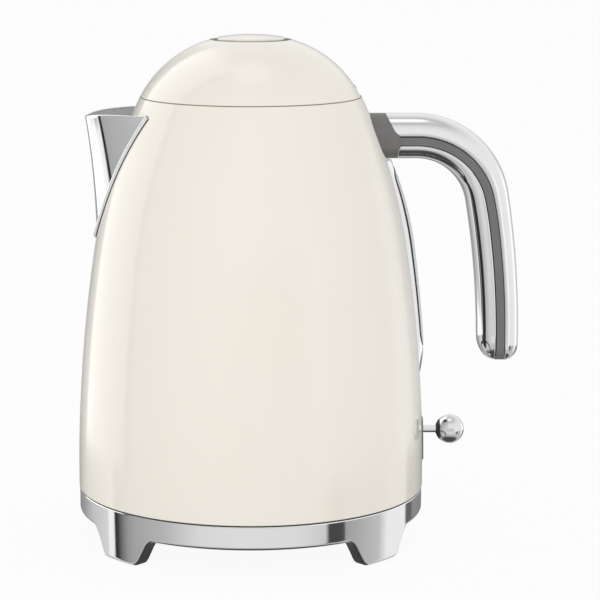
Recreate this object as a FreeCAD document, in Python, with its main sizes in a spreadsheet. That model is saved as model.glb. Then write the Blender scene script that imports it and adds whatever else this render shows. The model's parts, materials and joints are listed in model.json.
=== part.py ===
import FreeCAD, Part
import math
import os
import re
import Sketcher

# Driving sizes in millimetres and degrees: the kettle's axis is x = 0, the floor is z = 0
SIZES = (
    # Body profile
    ("barrel_radius", 86.1), ("bulge_height", 33), ("barrel_sweep", 731), ("shoulder_height", 149),
    ("shoulder_sweep", 260), ("body_bottom", 26.4), ("rim_height", 220.4), ("rim_drop", 1.7), ("wall", 1),
    ("seat_gap", 0.1), ("run_gap", 0.3), ("pin_gap", 0.05), ("sink", 1),
    # Power base
    ("ring_set_back", 0.3), ("ring_wall", 2.4), ("ring_top", 25.9), ("ring_edge", 13.9), ("ring_round", 0.8),
    ("foot_set_back", 0.3), ("foot_wall", 7.7), ("foot_round", 1.5), ("foot_turn", 42),
    ("front_arch_low", 40.3), ("front_arch_top", 34.3), ("front_arch_round", 3),
    ("side_arch_low", 34.6), ("side_arch_top", 31.2), ("side_arch_round", 7),
    ("pad_height", 1), ("pad_length", 9), ("pad_width", 3.4), ("shelf_height", 15.4),
    ("plate_top", 24.2), ("plate_thickness", 2.5), ("plate_rim", 2.2),
    ("cover_floor", 12.2), ("cover_thickness", 2), ("base_screw_inset", 23.8), ("base_boss_radius", 4),
    ("screw_radius", 1.45), ("screw_head_radius", 3), ("screw_head", 1.5), ("base_screw_length", 8),
    ("connector_radius", 16.5), ("connector_top", 40), ("connector_flange", 23),
    ("groove_inner", 8), ("groove_outer", 11), ("groove_floor", 26), ("pin_bore", 3), ("contact_wall", 0.6),
    ("gland_radius", 3.2), ("gland_height", 17.9), ("gland_bore", 2.2), ("gland_length", 17.8),
    ("gland_rim", 0.4), ("terminal_length", 24), ("terminal_depth", 12), ("terminal_height", 6),
    ("terminal_inset", 25.8),
    # Kettle socket and floor
    ("socket_wall", 7), ("socket_flange", 26), ("socket_roof", 43), ("socket_roof_thickness", 2),
    ("socket_flange_thickness", 3), ("blade_bottom", 30), ("chassis_floor", 3.2), ("chassis_collar", 2.6),
    ("chassis_inset", 5.8), ("chassis_rim_top", 33), ("chassis_rim_wall", 2), ("chassis_screw_inset", 16.1),
    ("chassis_screw_length", 12), ("stud_radius", 3.2), ("floor_height", 72), ("floor_thickness", 1),
    ("seal_depth", 3.5), ("seal_inset", 1.3), ("seal_lip", 3), ("diffuser_inset", 40.1),
    ("diffuser_thickness", 3.2), ("element_inset", 55.1), ("element_radius", 3.5), ("element_angle", 320),
    ("tail_angle", 5), ("block_radius", 27), ("block_top", 57), ("block_post_radius", 3),
    ("block_post_inset", 10), ("bimetal_radius", 9), ("bimetal_thickness", 0.6), ("bimetal_post", 5),
    ("bimetal_gap", 2),
    # Steam tube and switch
    ("tube_inset", 34.1), ("tube_y", 18), ("tube_radius", 4), ("tube_wall", 1), ("tube_bottom", 58),
    ("tube_drop", 14.4), ("grommet_flange", 6.6), ("grommet_neck", 5.15), ("grommet_lip", 1.4),
    ("switch_length", 12), ("switch_height", 11.9), ("switch_post", 6),
    # Lever
    ("pivot_inset", 20.1), ("lever_height", 53.3), ("lever_pin_radius", 1.5), ("stem_radius", 1.85),
    ("knob_stand", 13.7), ("knob_radius", 7.2), ("knob_bite", 3.8), ("hub_radius", 3.6), ("hub_half", 3.5),
    ("tail_length", 18), ("tail_half", 2), ("cheek_gap", 0.4), ("cheek", 2.5), ("cheek_length", 12),
    ("bracket_length", 29), ("bracket_post", 4), ("guide_bottom", 62), ("guide_thickness", 3),
    ("rod_arm", 16), ("rod_radius", 2), ("rod_length", 10.5), ("guide_wall", 3),
    ("slot_low", 44.6), ("slot_high", 56), ("slot_half", 2.4),
    ("escutcheon_low", 36.9), ("escutcheon_high", 62.4), ("escutcheon_half", 6), ("escutcheon", 0.8),
    # Spout: drop below the rim, stand off the body and bluntness of the nose at four heights
    ("drop_top", 6.4), ("drop_high", 30.4), ("drop_low", 55.4), ("drop_root", 80.4),
    ("stand_top", 24.58), ("stand_high", 11.83), ("stand_low", 2.95), ("stand_root", -2.23),
    ("blunt_top", 27), ("blunt_high", 32), ("blunt_low", 43), ("blunt_root", 75),
    ("spout_back", 30), ("spout_wall", 1.4), ("spout_drop", 9.6), ("spout_rim_tilt", 3),
    ("flange_width", 2.2), ("flange_nose", 0.44), ("flange_thickness", 0.9), ("gasket_thickness", 0.4),
    ("gasket_edge", 0.4), ("filter_half", 22), ("filter_foot_drop", 57.4), ("filter_head_drop", 14.4),
    ("filter_thickness", 2), ("filter_border", 4), ("mesh_thickness", 0.5), ("mesh_slot", 1.2),
    ("mesh_pitch", 5),
    # Water gauge: heights, and how far it stands off the body there
    ("gauge_drop", 12.2), ("gauge_top_stand", 2.3), ("gauge_mid", 149.2), ("gauge_mid_stand", 4.1),
    ("gauge_low", 103), ("gauge_low_stand", 3.26), ("gauge_end", 81.5), ("gauge_end_stand", -0.29),
    ("gauge_upper_sweep", 149), ("gauge_lower_sweep", 735), ("gauge_end_sweep", 66.8),
    ("gauge_half", 8), ("gauge_round", 2.4), ("window_half", 4.6), ("window_low", 96), ("window_drop", 11),
    ("lens_recess", 0.8), ("lens_neck_half", 3.4), ("lens_shoulder", 3), ("gauge_seal", 0.3),
    # Handle
    ("handle_drop", 19.2), ("handle_root", 5.75), ("bend_reach", 18.5), ("bend_radius", 35.8), ("lean", 9.7),
    ("grip_sweep", 434), ("handle_end", 88.4), ("handle_half", 12), ("handle_crown", 11.1),
    ("handle_corner", 7), ("crown_sweep", 22), ("strip_half", 2.4), ("strip_inset", 0.3),
    ("rib_half", 5), ("rib_height", 6), ("end_round", 9), ("mount_top_reach", 3.65), ("mount_mid_reach", 8.85),
    ("mount_low_reach", 10.45), ("mount_gap", 0.15), ("handle_screw_radius", 1.8), ("handle_screw_rise", 5.8),
    ("handle_screw_fall", 6.2), ("handle_screw_reach", 6.25), ("handle_screw_head", 3.24),
    # Lid and its hinge: rises above the rim, drops below it and insets from its edge
    ("lid_gap", 0.5), ("lid_inset", 0.35), ("dome_sweep", 56), ("dome_rise", 27.9), ("dome_hole", 19.9),
    ("dome_wall", 1.6), ("dome_lip", 1.8), ("pan_inset", 3.15), ("pan_wall", 1.6), ("pan_drop", 5.9),
    ("pan_rise", 1.2), ("lid_seal_inset", 1.85), ("lid_seal_drop", 2.5), ("lid_seal_gap", 0.3),
    ("hinge_inset", 4.95), ("hinge_rise", 2.6), ("knuckle_radius", 2.8), ("knuckle_half", 7), ("lug_half", 13),
    ("hinge_pin_radius", 1.5), ("hinge_gap", 0.4), ("notch_inset", 8.65), ("hinge_foot_drop", 17.4),
    ("hinge_foot_inset", 2.45), ("ring_inner", 17), ("trim_rise", 23.1), ("trim_height", 4.4),
    ("trim_flange", 22.5), ("trim_flange_thickness", 1.5),
    # Button, spring and latch
    ("button_radius", 16.7), ("shoulder_rise", 29.1), ("crown_rise", 1.3), ("button_round", 1),
    ("button_wall", 1.6), ("button_depth", 7), ("stem_size", 4), ("stem_rise", 2.6), ("tower_radius", 9),
    ("tower_rise", 11.6), ("spring_wire", 0.8), ("spring_radius", 6), ("latch_spring_radius", 1.2),
    ("bolt_half", 6), ("bolt_drop", 3.8), ("bolt_height", 2.8), ("bolt_inset", 2.15), ("bolt_length", 24.3),
    ("keeper_inset", 1.25), ("keeper_drop", 5.9), ("keeper_height", 3.1),
)


def lower(height, inset="0"):
    """Radius of the barrel's arc at a height, inset from the outside."""
    rise = f"(({height}) - bulge_height)"
    return f"(barrel_radius - barrel_sweep + sqrt((barrel_sweep - ({inset}))^2 - {rise}^2))"


def upper(height, inset="0"):
    """Radius of the shoulder's arc at a height, inset from the outside."""
    rise = "(shoulder_height - bulge_height) / barrel_sweep"
    centre_r = f"(barrel_radius - barrel_sweep + (barrel_sweep - shoulder_sweep) * sqrt(1 - ({rise})^2))"
    centre_z = f"(bulge_height + (barrel_sweep - shoulder_sweep) * {rise})"
    return f"({centre_r} + sqrt((shoulder_sweep - ({inset}))^2 - (({height}) - {centre_z})^2))"


# Sizes that follow from the driving ones
DERIVED = (
    # The body's rim and what sits round it
    ("rim_radius", upper("rim_height")),
    ("ring_radius", "barrel_radius - ring_set_back"), ("foot_radius", "ring_radius - foot_set_back"),
    ("foot_inner", "foot_radius - foot_wall"), ("base_screw_circle", "ring_radius - base_screw_inset"),
    ("gland_inner", "ring_radius - gland_length"), ("terminal_back", "ring_radius - terminal_inset"),
    ("chassis_foot", "ring_radius - chassis_inset"),
    ("chassis_screw_circle", "barrel_radius - chassis_screw_inset"),
    ("diffuser_radius", "barrel_radius - diffuser_inset"), ("element_circle", "barrel_radius - element_inset"),
    ("block_post_circle", "element_circle - block_post_inset"),
    ("tube_x", "barrel_radius - tube_inset"), ("tube_top", "rim_height - tube_drop"),
    ("pivot_x", "barrel_radius - pivot_inset"), ("knob_x", "barrel_radius + knob_stand"),
    ("knob_bore_end", "knob_x - knob_bite"), ("tail_x", "pivot_x - tail_length"),
    ("bracket_post_x", "pivot_x - bracket_length"), ("rod_x", "pivot_x - rod_arm"),
    # Spout and filter
    ("spout_top", "rim_height - drop_top"), ("spout_high", "rim_height - drop_high"),
    ("spout_low", "rim_height - drop_low"), ("spout_root", "rim_height - drop_root"),
    ("reach_top", upper("spout_top") + " + stand_top"), ("reach_high", upper("spout_high") + " + stand_high"),
    ("reach_low", upper("spout_low") + " + stand_low"), ("reach_root", lower("spout_root") + " + stand_root"),
    ("spout_rim", "rim_height - spout_drop"), ("filter_low", "rim_height - filter_foot_drop"),
    ("filter_high", "rim_height - filter_head_drop"),
    # Handle and gauge
    ("handle_height", "rim_height - handle_drop"), ("handle_seat", upper("handle_height")),
    ("handle_start", "handle_seat - handle_root"), ("bend_x", "handle_seat + bend_reach"),
    ("mount_top_x", "handle_seat + mount_top_reach"), ("mount_mid_x", "handle_seat + mount_mid_reach"),
    ("mount_low_x", "handle_seat + mount_low_reach"), ("handle_screw_end", "handle_seat + handle_screw_reach"),
    ("handle_screw_high", "handle_height + handle_screw_rise"),
    ("handle_screw_low", "handle_height - handle_screw_fall"),
    ("gauge_top", "handle_height - gauge_drop"), ("window_high", "gauge_top - window_drop"),
    ("gauge_top_reach", upper("gauge_top") + " + gauge_top_stand"),
    ("gauge_mid_reach", upper("gauge_mid") + " + gauge_mid_stand"),
    ("gauge_low_reach", lower("gauge_low") + " + gauge_low_stand"),
    ("gauge_end_reach", lower("gauge_end") + " + gauge_end_stand"),
    # Lid, hinge, button and latch
    ("lid_edge", "rim_height + lid_gap"), ("lid_radius", "rim_radius - lid_inset"),
    ("dome_top", "rim_height + dome_rise"), ("pan_radius", "rim_radius - pan_inset"),
    ("pan_floor", "rim_height - pan_drop"), ("pan_top", "rim_height + pan_rise"),
    ("lid_seal_radius", "rim_radius - lid_seal_inset"), ("lid_seal_low", "rim_height - lid_seal_drop"),
    ("lid_seal_high", "rim_height - lid_seal_gap"), ("hinge_x", "rim_radius - hinge_inset"),
    ("hinge_z", "rim_height + hinge_rise"), ("notch_x", "rim_radius - notch_inset"),
    ("hinge_foot", "rim_height - hinge_foot_drop"), ("hinge_foot_x", "rim_radius - hinge_foot_inset"),
    ("trim_low", "rim_height + trim_rise"), ("trim_top", "trim_low + trim_height"),
    ("button_shoulder", "rim_height + shoulder_rise"), ("button_crown", "button_shoulder + crown_rise"),
    ("button_low", "button_shoulder - button_depth"), ("stem_low", "rim_height + stem_rise"),
    ("tower_top", "rim_height + tower_rise"), ("bolt_low", "rim_height - bolt_drop"),
    ("bolt_high", "bolt_low + bolt_height"), ("bolt_tip", "rim_radius - bolt_inset"),
    ("bolt_tail", "bolt_tip - bolt_length"), ("keeper_reach", "rim_radius - keeper_inset"),
    ("keeper_low", "rim_height - keeper_drop"), ("keeper_high", "keeper_low + keeper_height"),
)

document = FreeCAD.newDocument("kettle")
sheet = document.addObject("Spreadsheet::Sheet", "Sizes")
pieces = []
WORD = re.compile(r"[a-z][a-z_0-9]*(?![a-z_0-9(])")

# The handle's furthest reach and the shift that centres the kettle on the origin
GRIP_X = "(bend_x - (grip_sweep - bend_radius) * cos(lean))"
GRIP_Z = "(handle_height - bend_radius - (grip_sweep - bend_radius) * sin(lean))"
AXIS = f"(barrel_radius - {GRIP_X} - grip_sweep - handle_crown) / 2"
QUARTERS = (45, 135, 225, 315)
THIRDS = (60, 180, 300)


def fill_sheet():
    """Writes every size into its own cell, the derived ones as formulas."""
    formulas = [(alias, "=" + formula) for alias, formula in DERIVED]
    for row, (alias, size) in enumerate((*SIZES, *formulas), start=1):
        sheet.set(f"A{row}", alias)
        sheet.setAlias(f"B{row}", alias)
        sheet.set(f"B{row}", str(size))
    document.recompute()


def value(size):
    """Gives the number that a size, or a formula of sizes, has now."""
    return float(sheet.evalExpression(str(size)))


def drive(thing, name, size):
    """Binds one property to the sheet."""
    formula = WORD.sub(lambda word: "Sizes." + word.group(0), str(size))
    thing.setExpression(name, formula)


def hold(sketch, kind, edge, end, size):
    """Fixes one end of an edge from the sketch's origin, or the radius of an arc."""
    if kind == "Radius":
        index = sketch.addConstraint(Sketcher.Constraint(kind, edge, value(size)))
    else:
        index = sketch.addConstraint(Sketcher.Constraint(kind, -1, 1, edge, end, value(size)))
    drive(sketch, f"Constraints[{index}]", size)


def outline(sketch, corners, closed=True):
    """Draws edges through corners; a corner (x, y, radius, side) starts an arc with its centre on that side."""
    points = [FreeCAD.Vector(value(corner[0]), value(corner[1]), 0) for corner in corners]
    ends = []
    count = len(corners) if closed else len(corners) - 1
    for index in range(count):
        start = points[index]
        end = points[(index + 1) % len(points)]
        if len(corners[index]) == 2:
            ends.append((sketch.addGeometry(Part.LineSegment(start, end)), 1, 2))
            continue
        radius = value(corners[index][2])
        left = corners[index][3] == "left"
        chord = end - start
        across = FreeCAD.Vector(-chord.y, chord.x, 0).normalize()
        reach = math.sqrt(max(radius ** 2 - (chord.Length / 2) ** 2, 0))
        centre = (start + end) * 0.5 + across * (reach if left else -reach)
        first, last = (start, end) if left else (end, start)
        angles = [math.atan2(point.y - centre.y, point.x - centre.x) for point in (first, last)]
        circle = Part.Circle(centre, FreeCAD.Vector(0, 0, 1), radius)
        edge = sketch.addGeometry(Part.ArcOfCircle(circle, angles[0], angles[1]))
        ends.append((edge, 1, 2) if left else (edge, 2, 1))
    for index, (edge, first, last) in enumerate(ends):
        hold(sketch, "DistanceX", edge, first, corners[index][0])
        hold(sketch, "DistanceY", edge, first, corners[index][1])
        if index + 1 < len(ends) or closed:
            following = ends[(index + 1) % len(ends)]
            sketch.addConstraint(Sketcher.Constraint("Coincident", edge, last, following[0], following[1]))
        else:
            hold(sketch, "DistanceX", edge, last, corners[index + 1][0])
            hold(sketch, "DistanceY", edge, last, corners[index + 1][1])
        if len(corners[index]) > 2:
            hold(sketch, "Radius", edge, 0, corners[index][2])


def sketch_on(body, plane, name, offset="0"):
    """Starts a sketch on one of the body's own planes, moved along the plane's normal."""
    sketch = body.newObject("Sketcher::SketchObject", name)
    for feature in body.Origin.OriginFeatures:
        if feature.Role == plane:
            sketch.AttachmentSupport = [(feature, "")]
    sketch.MapMode = "FlatFace"
    drive(sketch, ".AttachmentOffset.Base.z", offset)
    return sketch


def turned(name, corners, angle="360"):
    """Revolves an outline of (radius, height) corners about the vertical axis."""
    body = document.addObject("PartDesign::Body", name)
    sketch = sketch_on(body, "XZ_Plane", name + "_section")
    outline(sketch, corners)
    feature = body.newObject("PartDesign::Revolution", name + "_turn")
    feature.Profile = sketch
    feature.ReferenceAxis = (sketch, ["V_Axis"])
    drive(feature, "Angle", angle)
    body.Tip = feature
    return body


def padded(name, plane, corners, length, offset="0", middle=True):
    """Extrudes an outline, to both sides of its plane unless middle is False."""
    body = document.addObject("PartDesign::Body", name)
    sketch = sketch_on(body, plane, name + "_outline", offset)
    outline(sketch, corners)
    feature = body.newObject("PartDesign::Pad", name + "_pad")
    feature.Profile = sketch
    if middle:
        feature.SideType = "Symmetric"
    drive(feature, "Length", length)
    body.Tip = feature
    return body


def swept(name, corners):
    """Sweeps a section, drawn across the handle, along the handle's middle line."""
    body = document.addObject("PartDesign::Body", name)
    path = sketch_on(body, "XZ_Plane", name + "_path")
    grip_end = f"{GRIP_X} + sqrt(grip_sweep^2 - (handle_end - {GRIP_Z})^2)"
    outline(path, [
        ("handle_start", "handle_height"),
        ("bend_x", "handle_height", "bend_radius", "right"),
        ("bend_x + bend_radius * cos(lean)", "handle_height - bend_radius + bend_radius * sin(lean)",
         "grip_sweep", "right"),
        (grip_end, "handle_end"),
    ], closed=False)
    section = sketch_on(body, "YZ_Plane", name + "_section", "handle_start")
    outline(section, corners)
    document.recompute()
    feature = body.newObject("PartDesign::AdditivePipe", name + "_pipe")
    feature.Profile = section
    feature.Spine = (path, ["Edge1", "Edge2", "Edge3"])
    body.Tip = feature
    return body


def primitive(kind, name, sizes, at, turn=None):
    """Makes a Part solid with driven sizes and place."""
    shape = document.addObject("Part::" + kind, name)
    for size_name, size in sizes.items():
        drive(shape, size_name, size)
    if turn:
        shape.Placement = FreeCAD.Placement(FreeCAD.Vector(), turn)
    for axis, size in zip("xyz", at):
        drive(shape, ".Placement.Base." + axis, size)
    return shape


def cylinder(name, radius, length, at, along="z"):
    """Makes a cylinder from its start point along one axis."""
    turns = {
        "x": FreeCAD.Rotation(FreeCAD.Vector(0, 1, 0), 90),
        "y": FreeCAD.Rotation(FreeCAD.Vector(1, 0, 0), -90),
        "z": None,
    }
    return primitive("Cylinder", name, {"Radius": radius, "Height": length}, at, turns[along])


def block(name, low, high):
    """Makes a box between two corners."""
    sizes = {"Length": f"({high[0]}) - ({low[0]})", "Width": f"({high[1]}) - ({low[1]})",
             "Height": f"({high[2]}) - ({low[2]})"}
    return primitive("Box", name, sizes, low)


def join(name, *shapes):
    """Fuses shapes into one solid."""
    result = document.addObject("Part::MultiFuse", name)
    result.Shapes = list(shapes)
    return result


def cut(name, base, *tools):
    """Takes tools away from a base."""
    result = document.addObject("Part::Cut", name)
    result.Base = base
    result.Tool = tools[0] if len(tools) == 1 else join(name + "_tools", *tools)
    return result


def shared(name, *shapes):
    """Keeps what all shapes have in common."""
    result = document.addObject("Part::MultiCommon", name)
    result.Shapes = list(shapes)
    return result


def group(name, *shapes):
    """Keeps several solids together as one node."""
    result = document.addObject("Part::Compound", name)
    result.Links = list(shapes)
    return result


def keep(label, shape, at=("0", "0")):
    """Names a finished sub-part and sets it in the kettle's frame."""
    shape.Label = label
    drive(shape, ".Placement.Base.x", f"{AXIS} + {at[0]}")
    drive(shape, ".Placement.Base.y", at[1])
    pieces.append(shape)


def envelope(name, inset, bottom="body_bottom - 20", top="rim_height + 12"):
    """A solid of the body's own outside, inset or, below zero, grown."""
    return turned(name, [
        ("0", bottom),
        (lower(bottom, inset), bottom, f"barrel_sweep - ({inset})", "left"),
        (lower("shoulder_height", inset), "shoulder_height", f"shoulder_sweep - ({inset})", "left"),
        (upper(top, inset), top),
        ("0", top),
    ])


def around(circle, angle):
    """Place of one fastener on a circle."""
    return f"{circle} * cos({angle})", f"{circle} * sin({angle})"


def screw(name, at, head_low, length):
    """A screw that stands head down, its head under head_low plus the head's height."""
    head = cylinder(name + "_head", "screw_head_radius", "screw_head", (*at, head_low))
    shank = cylinder(name + "_shank", "screw_radius", f"{length} + screw_head", (*at, head_low))
    return join(name, head, shank)


# Power base

def gland_way(name):
    """The round way at the back that the cord's gland passes through."""
    return cylinder(name, "gland_radius + seat_gap", "barrel_radius", ("0", "gland_inner", "gland_height"), "y")


def arch(name, plane, side, edge):
    """One arch between two feet, its end faces towards the kettle's axis, on one side of the ring."""
    body = document.addObject("PartDesign::Body", name)
    sections = []
    for reach in ("foot_inner / 2", "2 * ring_radius"):
        low = f"({reach}) * tan({edge}_arch_low)"
        top = f"({reach}) * tan({edge}_arch_top)"
        slope = f"(({low} - {top}) / (ring_edge + pad_height))"
        length = f"sqrt(1 + {slope}^2)"
        setting = f"({edge}_arch_round / ({length} + {slope}))"
        along = f"({setting} * {slope} / {length})"
        down = f"(ring_edge - {setting} / {length})"
        sketch = sketch_on(body, plane, f"{name}_{len(sections)}", f"{side} * ({reach})")
        outline(sketch, [
            (f"-({low})", "-pad_height"),
            (f"-({top} + {along})", down, f"{edge}_arch_round", "right"),
            (f"{setting} - {top}", "ring_edge"),
            (f"{top} - {setting}", "ring_edge", f"{edge}_arch_round", "right"),
            (f"{top} + {along}", down),
            (low, "-pad_height"),
        ])
        sections.append(sketch)
    document.recompute()
    feature = body.newObject("PartDesign::AdditiveLoft", name + "_loft")
    feature.Profile = sections[0]
    feature.Sections = sections[1:]
    feature.Ruled = True
    body.Tip = feature
    return body


def base_ring():
    skirt = turned("base_skirt", [
        ("foot_radius - foot_round", "pad_height", "foot_round", "left"),
        ("foot_radius", "pad_height + foot_round"),
        ("ring_radius", "ring_edge"),
        ("ring_radius", "ring_top - ring_round", "ring_round", "left"),
        ("ring_radius - ring_round", "ring_top"),
        ("ring_radius - ring_wall", "ring_top"),
        ("ring_radius - ring_wall", "shelf_height"),
        ("foot_inner", "shelf_height"),
        ("foot_inner", "pad_height"),
    ])
    arches = [arch("back_arch", "XZ_Plane", -1, "front"), arch("front_arch", "XZ_Plane", 1, "front"),
              arch("left_arch", "YZ_Plane", -1, "side"), arch("right_arch", "YZ_Plane", 1, "side")]
    keep("base_ring", cut("base_ring", skirt, *arches, gland_way("ring_gland_way")))


def foot_pads():
    pads = []
    inner = "((foot_radius + foot_inner - pad_width) / 2)"
    for name, angle in (("back_right", "foot_turn"), ("back_left", "180 - foot_turn"),
                        ("front_left", "180 + foot_turn"), ("front_right", "360 - foot_turn")):
        at = (f"{inner} * cos({angle}) + pad_length / 2 * sin({angle})",
              f"{inner} * sin({angle}) - pad_length / 2 * cos({angle})", "0")
        turn = FreeCAD.Rotation(FreeCAD.Vector(0, 0, 1), value(angle))
        sizes = {"Length": "pad_width", "Width": "pad_length", "Height": "pad_height"}
        pads.append(primitive("Box", f"foot_pad_{name}", sizes, at, turn))
    keep("foot_pads", group("foot_pads", *pads))


def base_top_plate():
    outer = "ring_radius - ring_wall - seat_gap"
    low = "plate_top - plate_thickness"
    plate = turned("top_plate_disc", [
        ("connector_radius + seat_gap", low),
        (f"{outer} - plate_rim", low),
        (f"{outer} - plate_rim", "shelf_height"),
        (outer, "shelf_height"),
        (outer, "plate_top"),
        ("connector_radius + seat_gap", "plate_top"),
    ])
    bosses = []
    holes = []
    for angle in QUARTERS:
        at = (*around("base_screw_circle", angle), "cover_floor + cover_thickness")
        bosses.append(cylinder(f"boss_{angle}", "base_boss_radius",
                               "plate_top - plate_thickness / 2 - cover_floor - cover_thickness", at))
        holes.append(cylinder(f"boss_hole_{angle}", "screw_radius + pin_gap", "base_screw_length", at))
    solid = join("top_plate_solid", plate, *bosses)
    keep("base_top_plate", cut("base_top_plate", solid, gland_way("plate_gland_way"), *holes))


def base_bottom_cover():
    outer = "foot_inner - seat_gap"
    dish = turned("cover_dish", [
        ("0", "cover_floor"),
        (outer, "cover_floor"),
        (outer, "plate_top - plate_thickness"),
        (f"{outer} - cover_thickness", "plate_top - plate_thickness"),
        (f"{outer} - cover_thickness", "cover_floor + cover_thickness"),
        ("0", "cover_floor + cover_thickness"),
    ])
    holes = [gland_way("cover_gland_way")]
    for angle in QUARTERS:
        at = (*around("base_screw_circle", angle), "cover_floor - pad_height")
        holes.append(cylinder(f"cover_hole_{angle}", "screw_radius + pin_gap", "cover_thickness * 3", at))
    keep("base_bottom_cover", cut("base_bottom_cover", dish, *holes))


def base_screws():
    screws = []
    for angle in QUARTERS:
        at = around("base_screw_circle", angle)
        screws.append(screw(f"base_screw_{angle}", at, "cover_floor - screw_head", "base_screw_length"))
    keep("base_screws", group("base_screws", *screws))


def base_connector():
    low = "plate_top - plate_thickness"
    keep("base_connector", turned("base_connector", [
        ("pin_bore", f"{low} - cover_thickness"),
        ("connector_flange", f"{low} - cover_thickness"),
        ("connector_flange", low),
        ("connector_radius", low),
        ("connector_radius", "connector_top - ring_round", "ring_round", "left"),
        ("connector_radius - ring_round", "connector_top"),
        ("groove_outer", "connector_top"),
        ("groove_outer", "groove_floor"),
        ("groove_inner", "groove_floor"),
        ("groove_inner", "connector_top"),
        ("pin_bore", "connector_top"),
    ]))


def sleeve(name, outer, inner, low, high):
    """A short tube on the vertical axis."""
    return turned(name, [(inner, low), (outer, low), (outer, high), (inner, high)])


def base_contacts():
    ring = sleeve("contact_ring", "groove_outer - seat_gap", "groove_outer - seat_gap - contact_wall",
                  "groove_floor", "connector_top - contact_wall")
    centre = sleeve("contact_pin", "pin_bore - seat_gap", "pin_bore - seat_gap - contact_wall",
                    "plate_top - plate_thickness", "connector_top - contact_wall")
    keep("base_contacts", group("base_contacts", ring, centre))


def cord_gland():
    at = ("0", "gland_inner", "gland_height")
    barrel = cylinder("gland_barrel", "gland_radius", "ring_radius - ring_round / 4 - gland_inner", at, "y")
    rim = cylinder("gland_rim", "gland_radius + gland_rim",
                   "foot_inner - cover_thickness - 2 * seat_gap - gland_inner", at, "y")
    bore = cylinder("gland_bore", "gland_bore", "barrel_radius", at, "y")
    keep("cord_gland", cut("cord_gland", join("gland_solid", barrel, rim), bore))


def terminal_block():
    low = ("-terminal_length / 2", "terminal_back - terminal_depth", "cover_floor + cover_thickness")
    high = ("terminal_length / 2", "terminal_back", "cover_floor + cover_thickness + terminal_height")
    body = block("terminal_body", low, high)
    wells = []
    for side in (-1, 0, 1):
        at = (f"{side} * terminal_length / 3", "terminal_back - terminal_depth / 2",
              "cover_floor + cover_thickness * 2")
        wells.append(cylinder(f"terminal_well_{side + 1}", "gland_bore", "terminal_height", at))
    keep("terminal_block", cut("terminal_block", body, *wells))


# Kettle underside

def kettle_socket():
    bore = "connector_radius + run_gap"
    outer = "connector_radius + run_gap + socket_wall"
    ceiling = "socket_roof - socket_roof_thickness"
    keep("kettle_socket", turned("kettle_socket", [
        ("0", ceiling),
        (bore, ceiling),
        (bore, "body_bottom"),
        (outer, "body_bottom"),
        (outer, "socket_roof - socket_flange_thickness"),
        ("socket_flange", "socket_roof - socket_flange_thickness"),
        ("socket_flange", "socket_roof"),
        ("0", "socket_roof"),
    ]))


def socket_contacts():
    ceiling = "socket_roof - socket_roof_thickness"
    outer = "groove_outer - seat_gap - contact_wall - run_gap"
    ring = sleeve("socket_blade", outer, f"{outer} - contact_wall", "blade_bottom", ceiling)
    pin = cylinder("socket_pin", "pin_bore - seat_gap - contact_wall - run_gap",
                   f"{ceiling} - blade_bottom", ("0", "0", "blade_bottom"))
    keep("socket_contacts", group("socket_contacts", ring, pin))


def chassis():
    hole = "connector_radius + run_gap * 2 + socket_wall"
    rim = lower("chassis_rim_top", "wall + seat_gap")
    rim_low = lower("body_bottom", "wall + seat_gap")
    dish = turned("chassis_dish", [
        (hole, "plate_top"),
        ("chassis_foot", "plate_top"),
        ("chassis_foot + chassis_rim_wall", "body_bottom"),
        (rim_low, "body_bottom"),
        (rim, "chassis_rim_top"),
        (f"{rim} - chassis_rim_wall", "chassis_rim_top"),
        (f"{rim} - chassis_rim_wall", "plate_top + chassis_floor"),
        (f"{hole} + chassis_collar", "plate_top + chassis_floor"),
        (f"{hole} + chassis_collar", "socket_roof - socket_flange_thickness - run_gap"),
        (hole, "socket_roof - socket_flange_thickness - run_gap"),
    ])
    holes = []
    for angle in THIRDS:
        at = around("chassis_screw_circle", angle)
        holes.append(cylinder(f"screw_well_{angle}", "screw_head_radius + seat_gap", "screw_head + run_gap",
                              (*at, "plate_top")))
        holes.append(cylinder(f"screw_way_{angle}", "screw_radius + pin_gap", "chassis_floor * 2",
                              (*at, "plate_top")))
    keep("chassis", cut("chassis", dish, *holes))


def chassis_screws():
    screws = []
    for angle in THIRDS:
        at = around("chassis_screw_circle", angle)
        screws.append(screw(f"chassis_screw_{angle}", at, "plate_top + run_gap", "chassis_screw_length"))
    keep("chassis_screws", group("chassis_screws", *screws))


def heating_plate():
    edge = f"{lower('floor_height', 'wall + seat_gap')} - seal_inset"
    disc = sleeve("plate_disc", edge, "0", "floor_height", "floor_height + floor_thickness")
    foot = "(plate_top + chassis_floor)"
    studs = []
    holes = [cylinder("tube_way", "grommet_neck + seat_gap", "floor_thickness * 3",
                      ("tube_x", "tube_y", "floor_height - floor_thickness"))]
    for angle in THIRDS:
        at = (*around("chassis_screw_circle", angle), foot)
        studs.append(cylinder(f"stud_{angle}", "stud_radius",
                              f"floor_height + floor_thickness / 2 - {foot}", at))
        holes.append(cylinder(f"stud_hole_{angle}", "screw_radius + pin_gap", "chassis_screw_length", at))
    keep("heating_plate", cut("heating_plate", join("plate_solid", disc, *studs), *holes))


def floor_seal():
    low = "floor_height - seal_lip"
    high = "floor_height + floor_thickness + seal_lip"
    edge = f"{lower('floor_height', 'wall + seat_gap')} - seal_inset + seat_gap"
    inner = f"{edge} - seal_depth"
    keep("floor_seal", turned("floor_seal", [
        (lower(low, "wall + seat_gap"), low, "barrel_sweep - wall - seat_gap", "left"),
        (lower(high, "wall + seat_gap"), high),
        (inner, high),
        (inner, "floor_height + floor_thickness + pin_gap"),
        (edge, "floor_height + floor_thickness + pin_gap"),
        (edge, "floor_height - pin_gap"),
        (inner, "floor_height - pin_gap"),
        (inner, low),
    ]))


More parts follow.
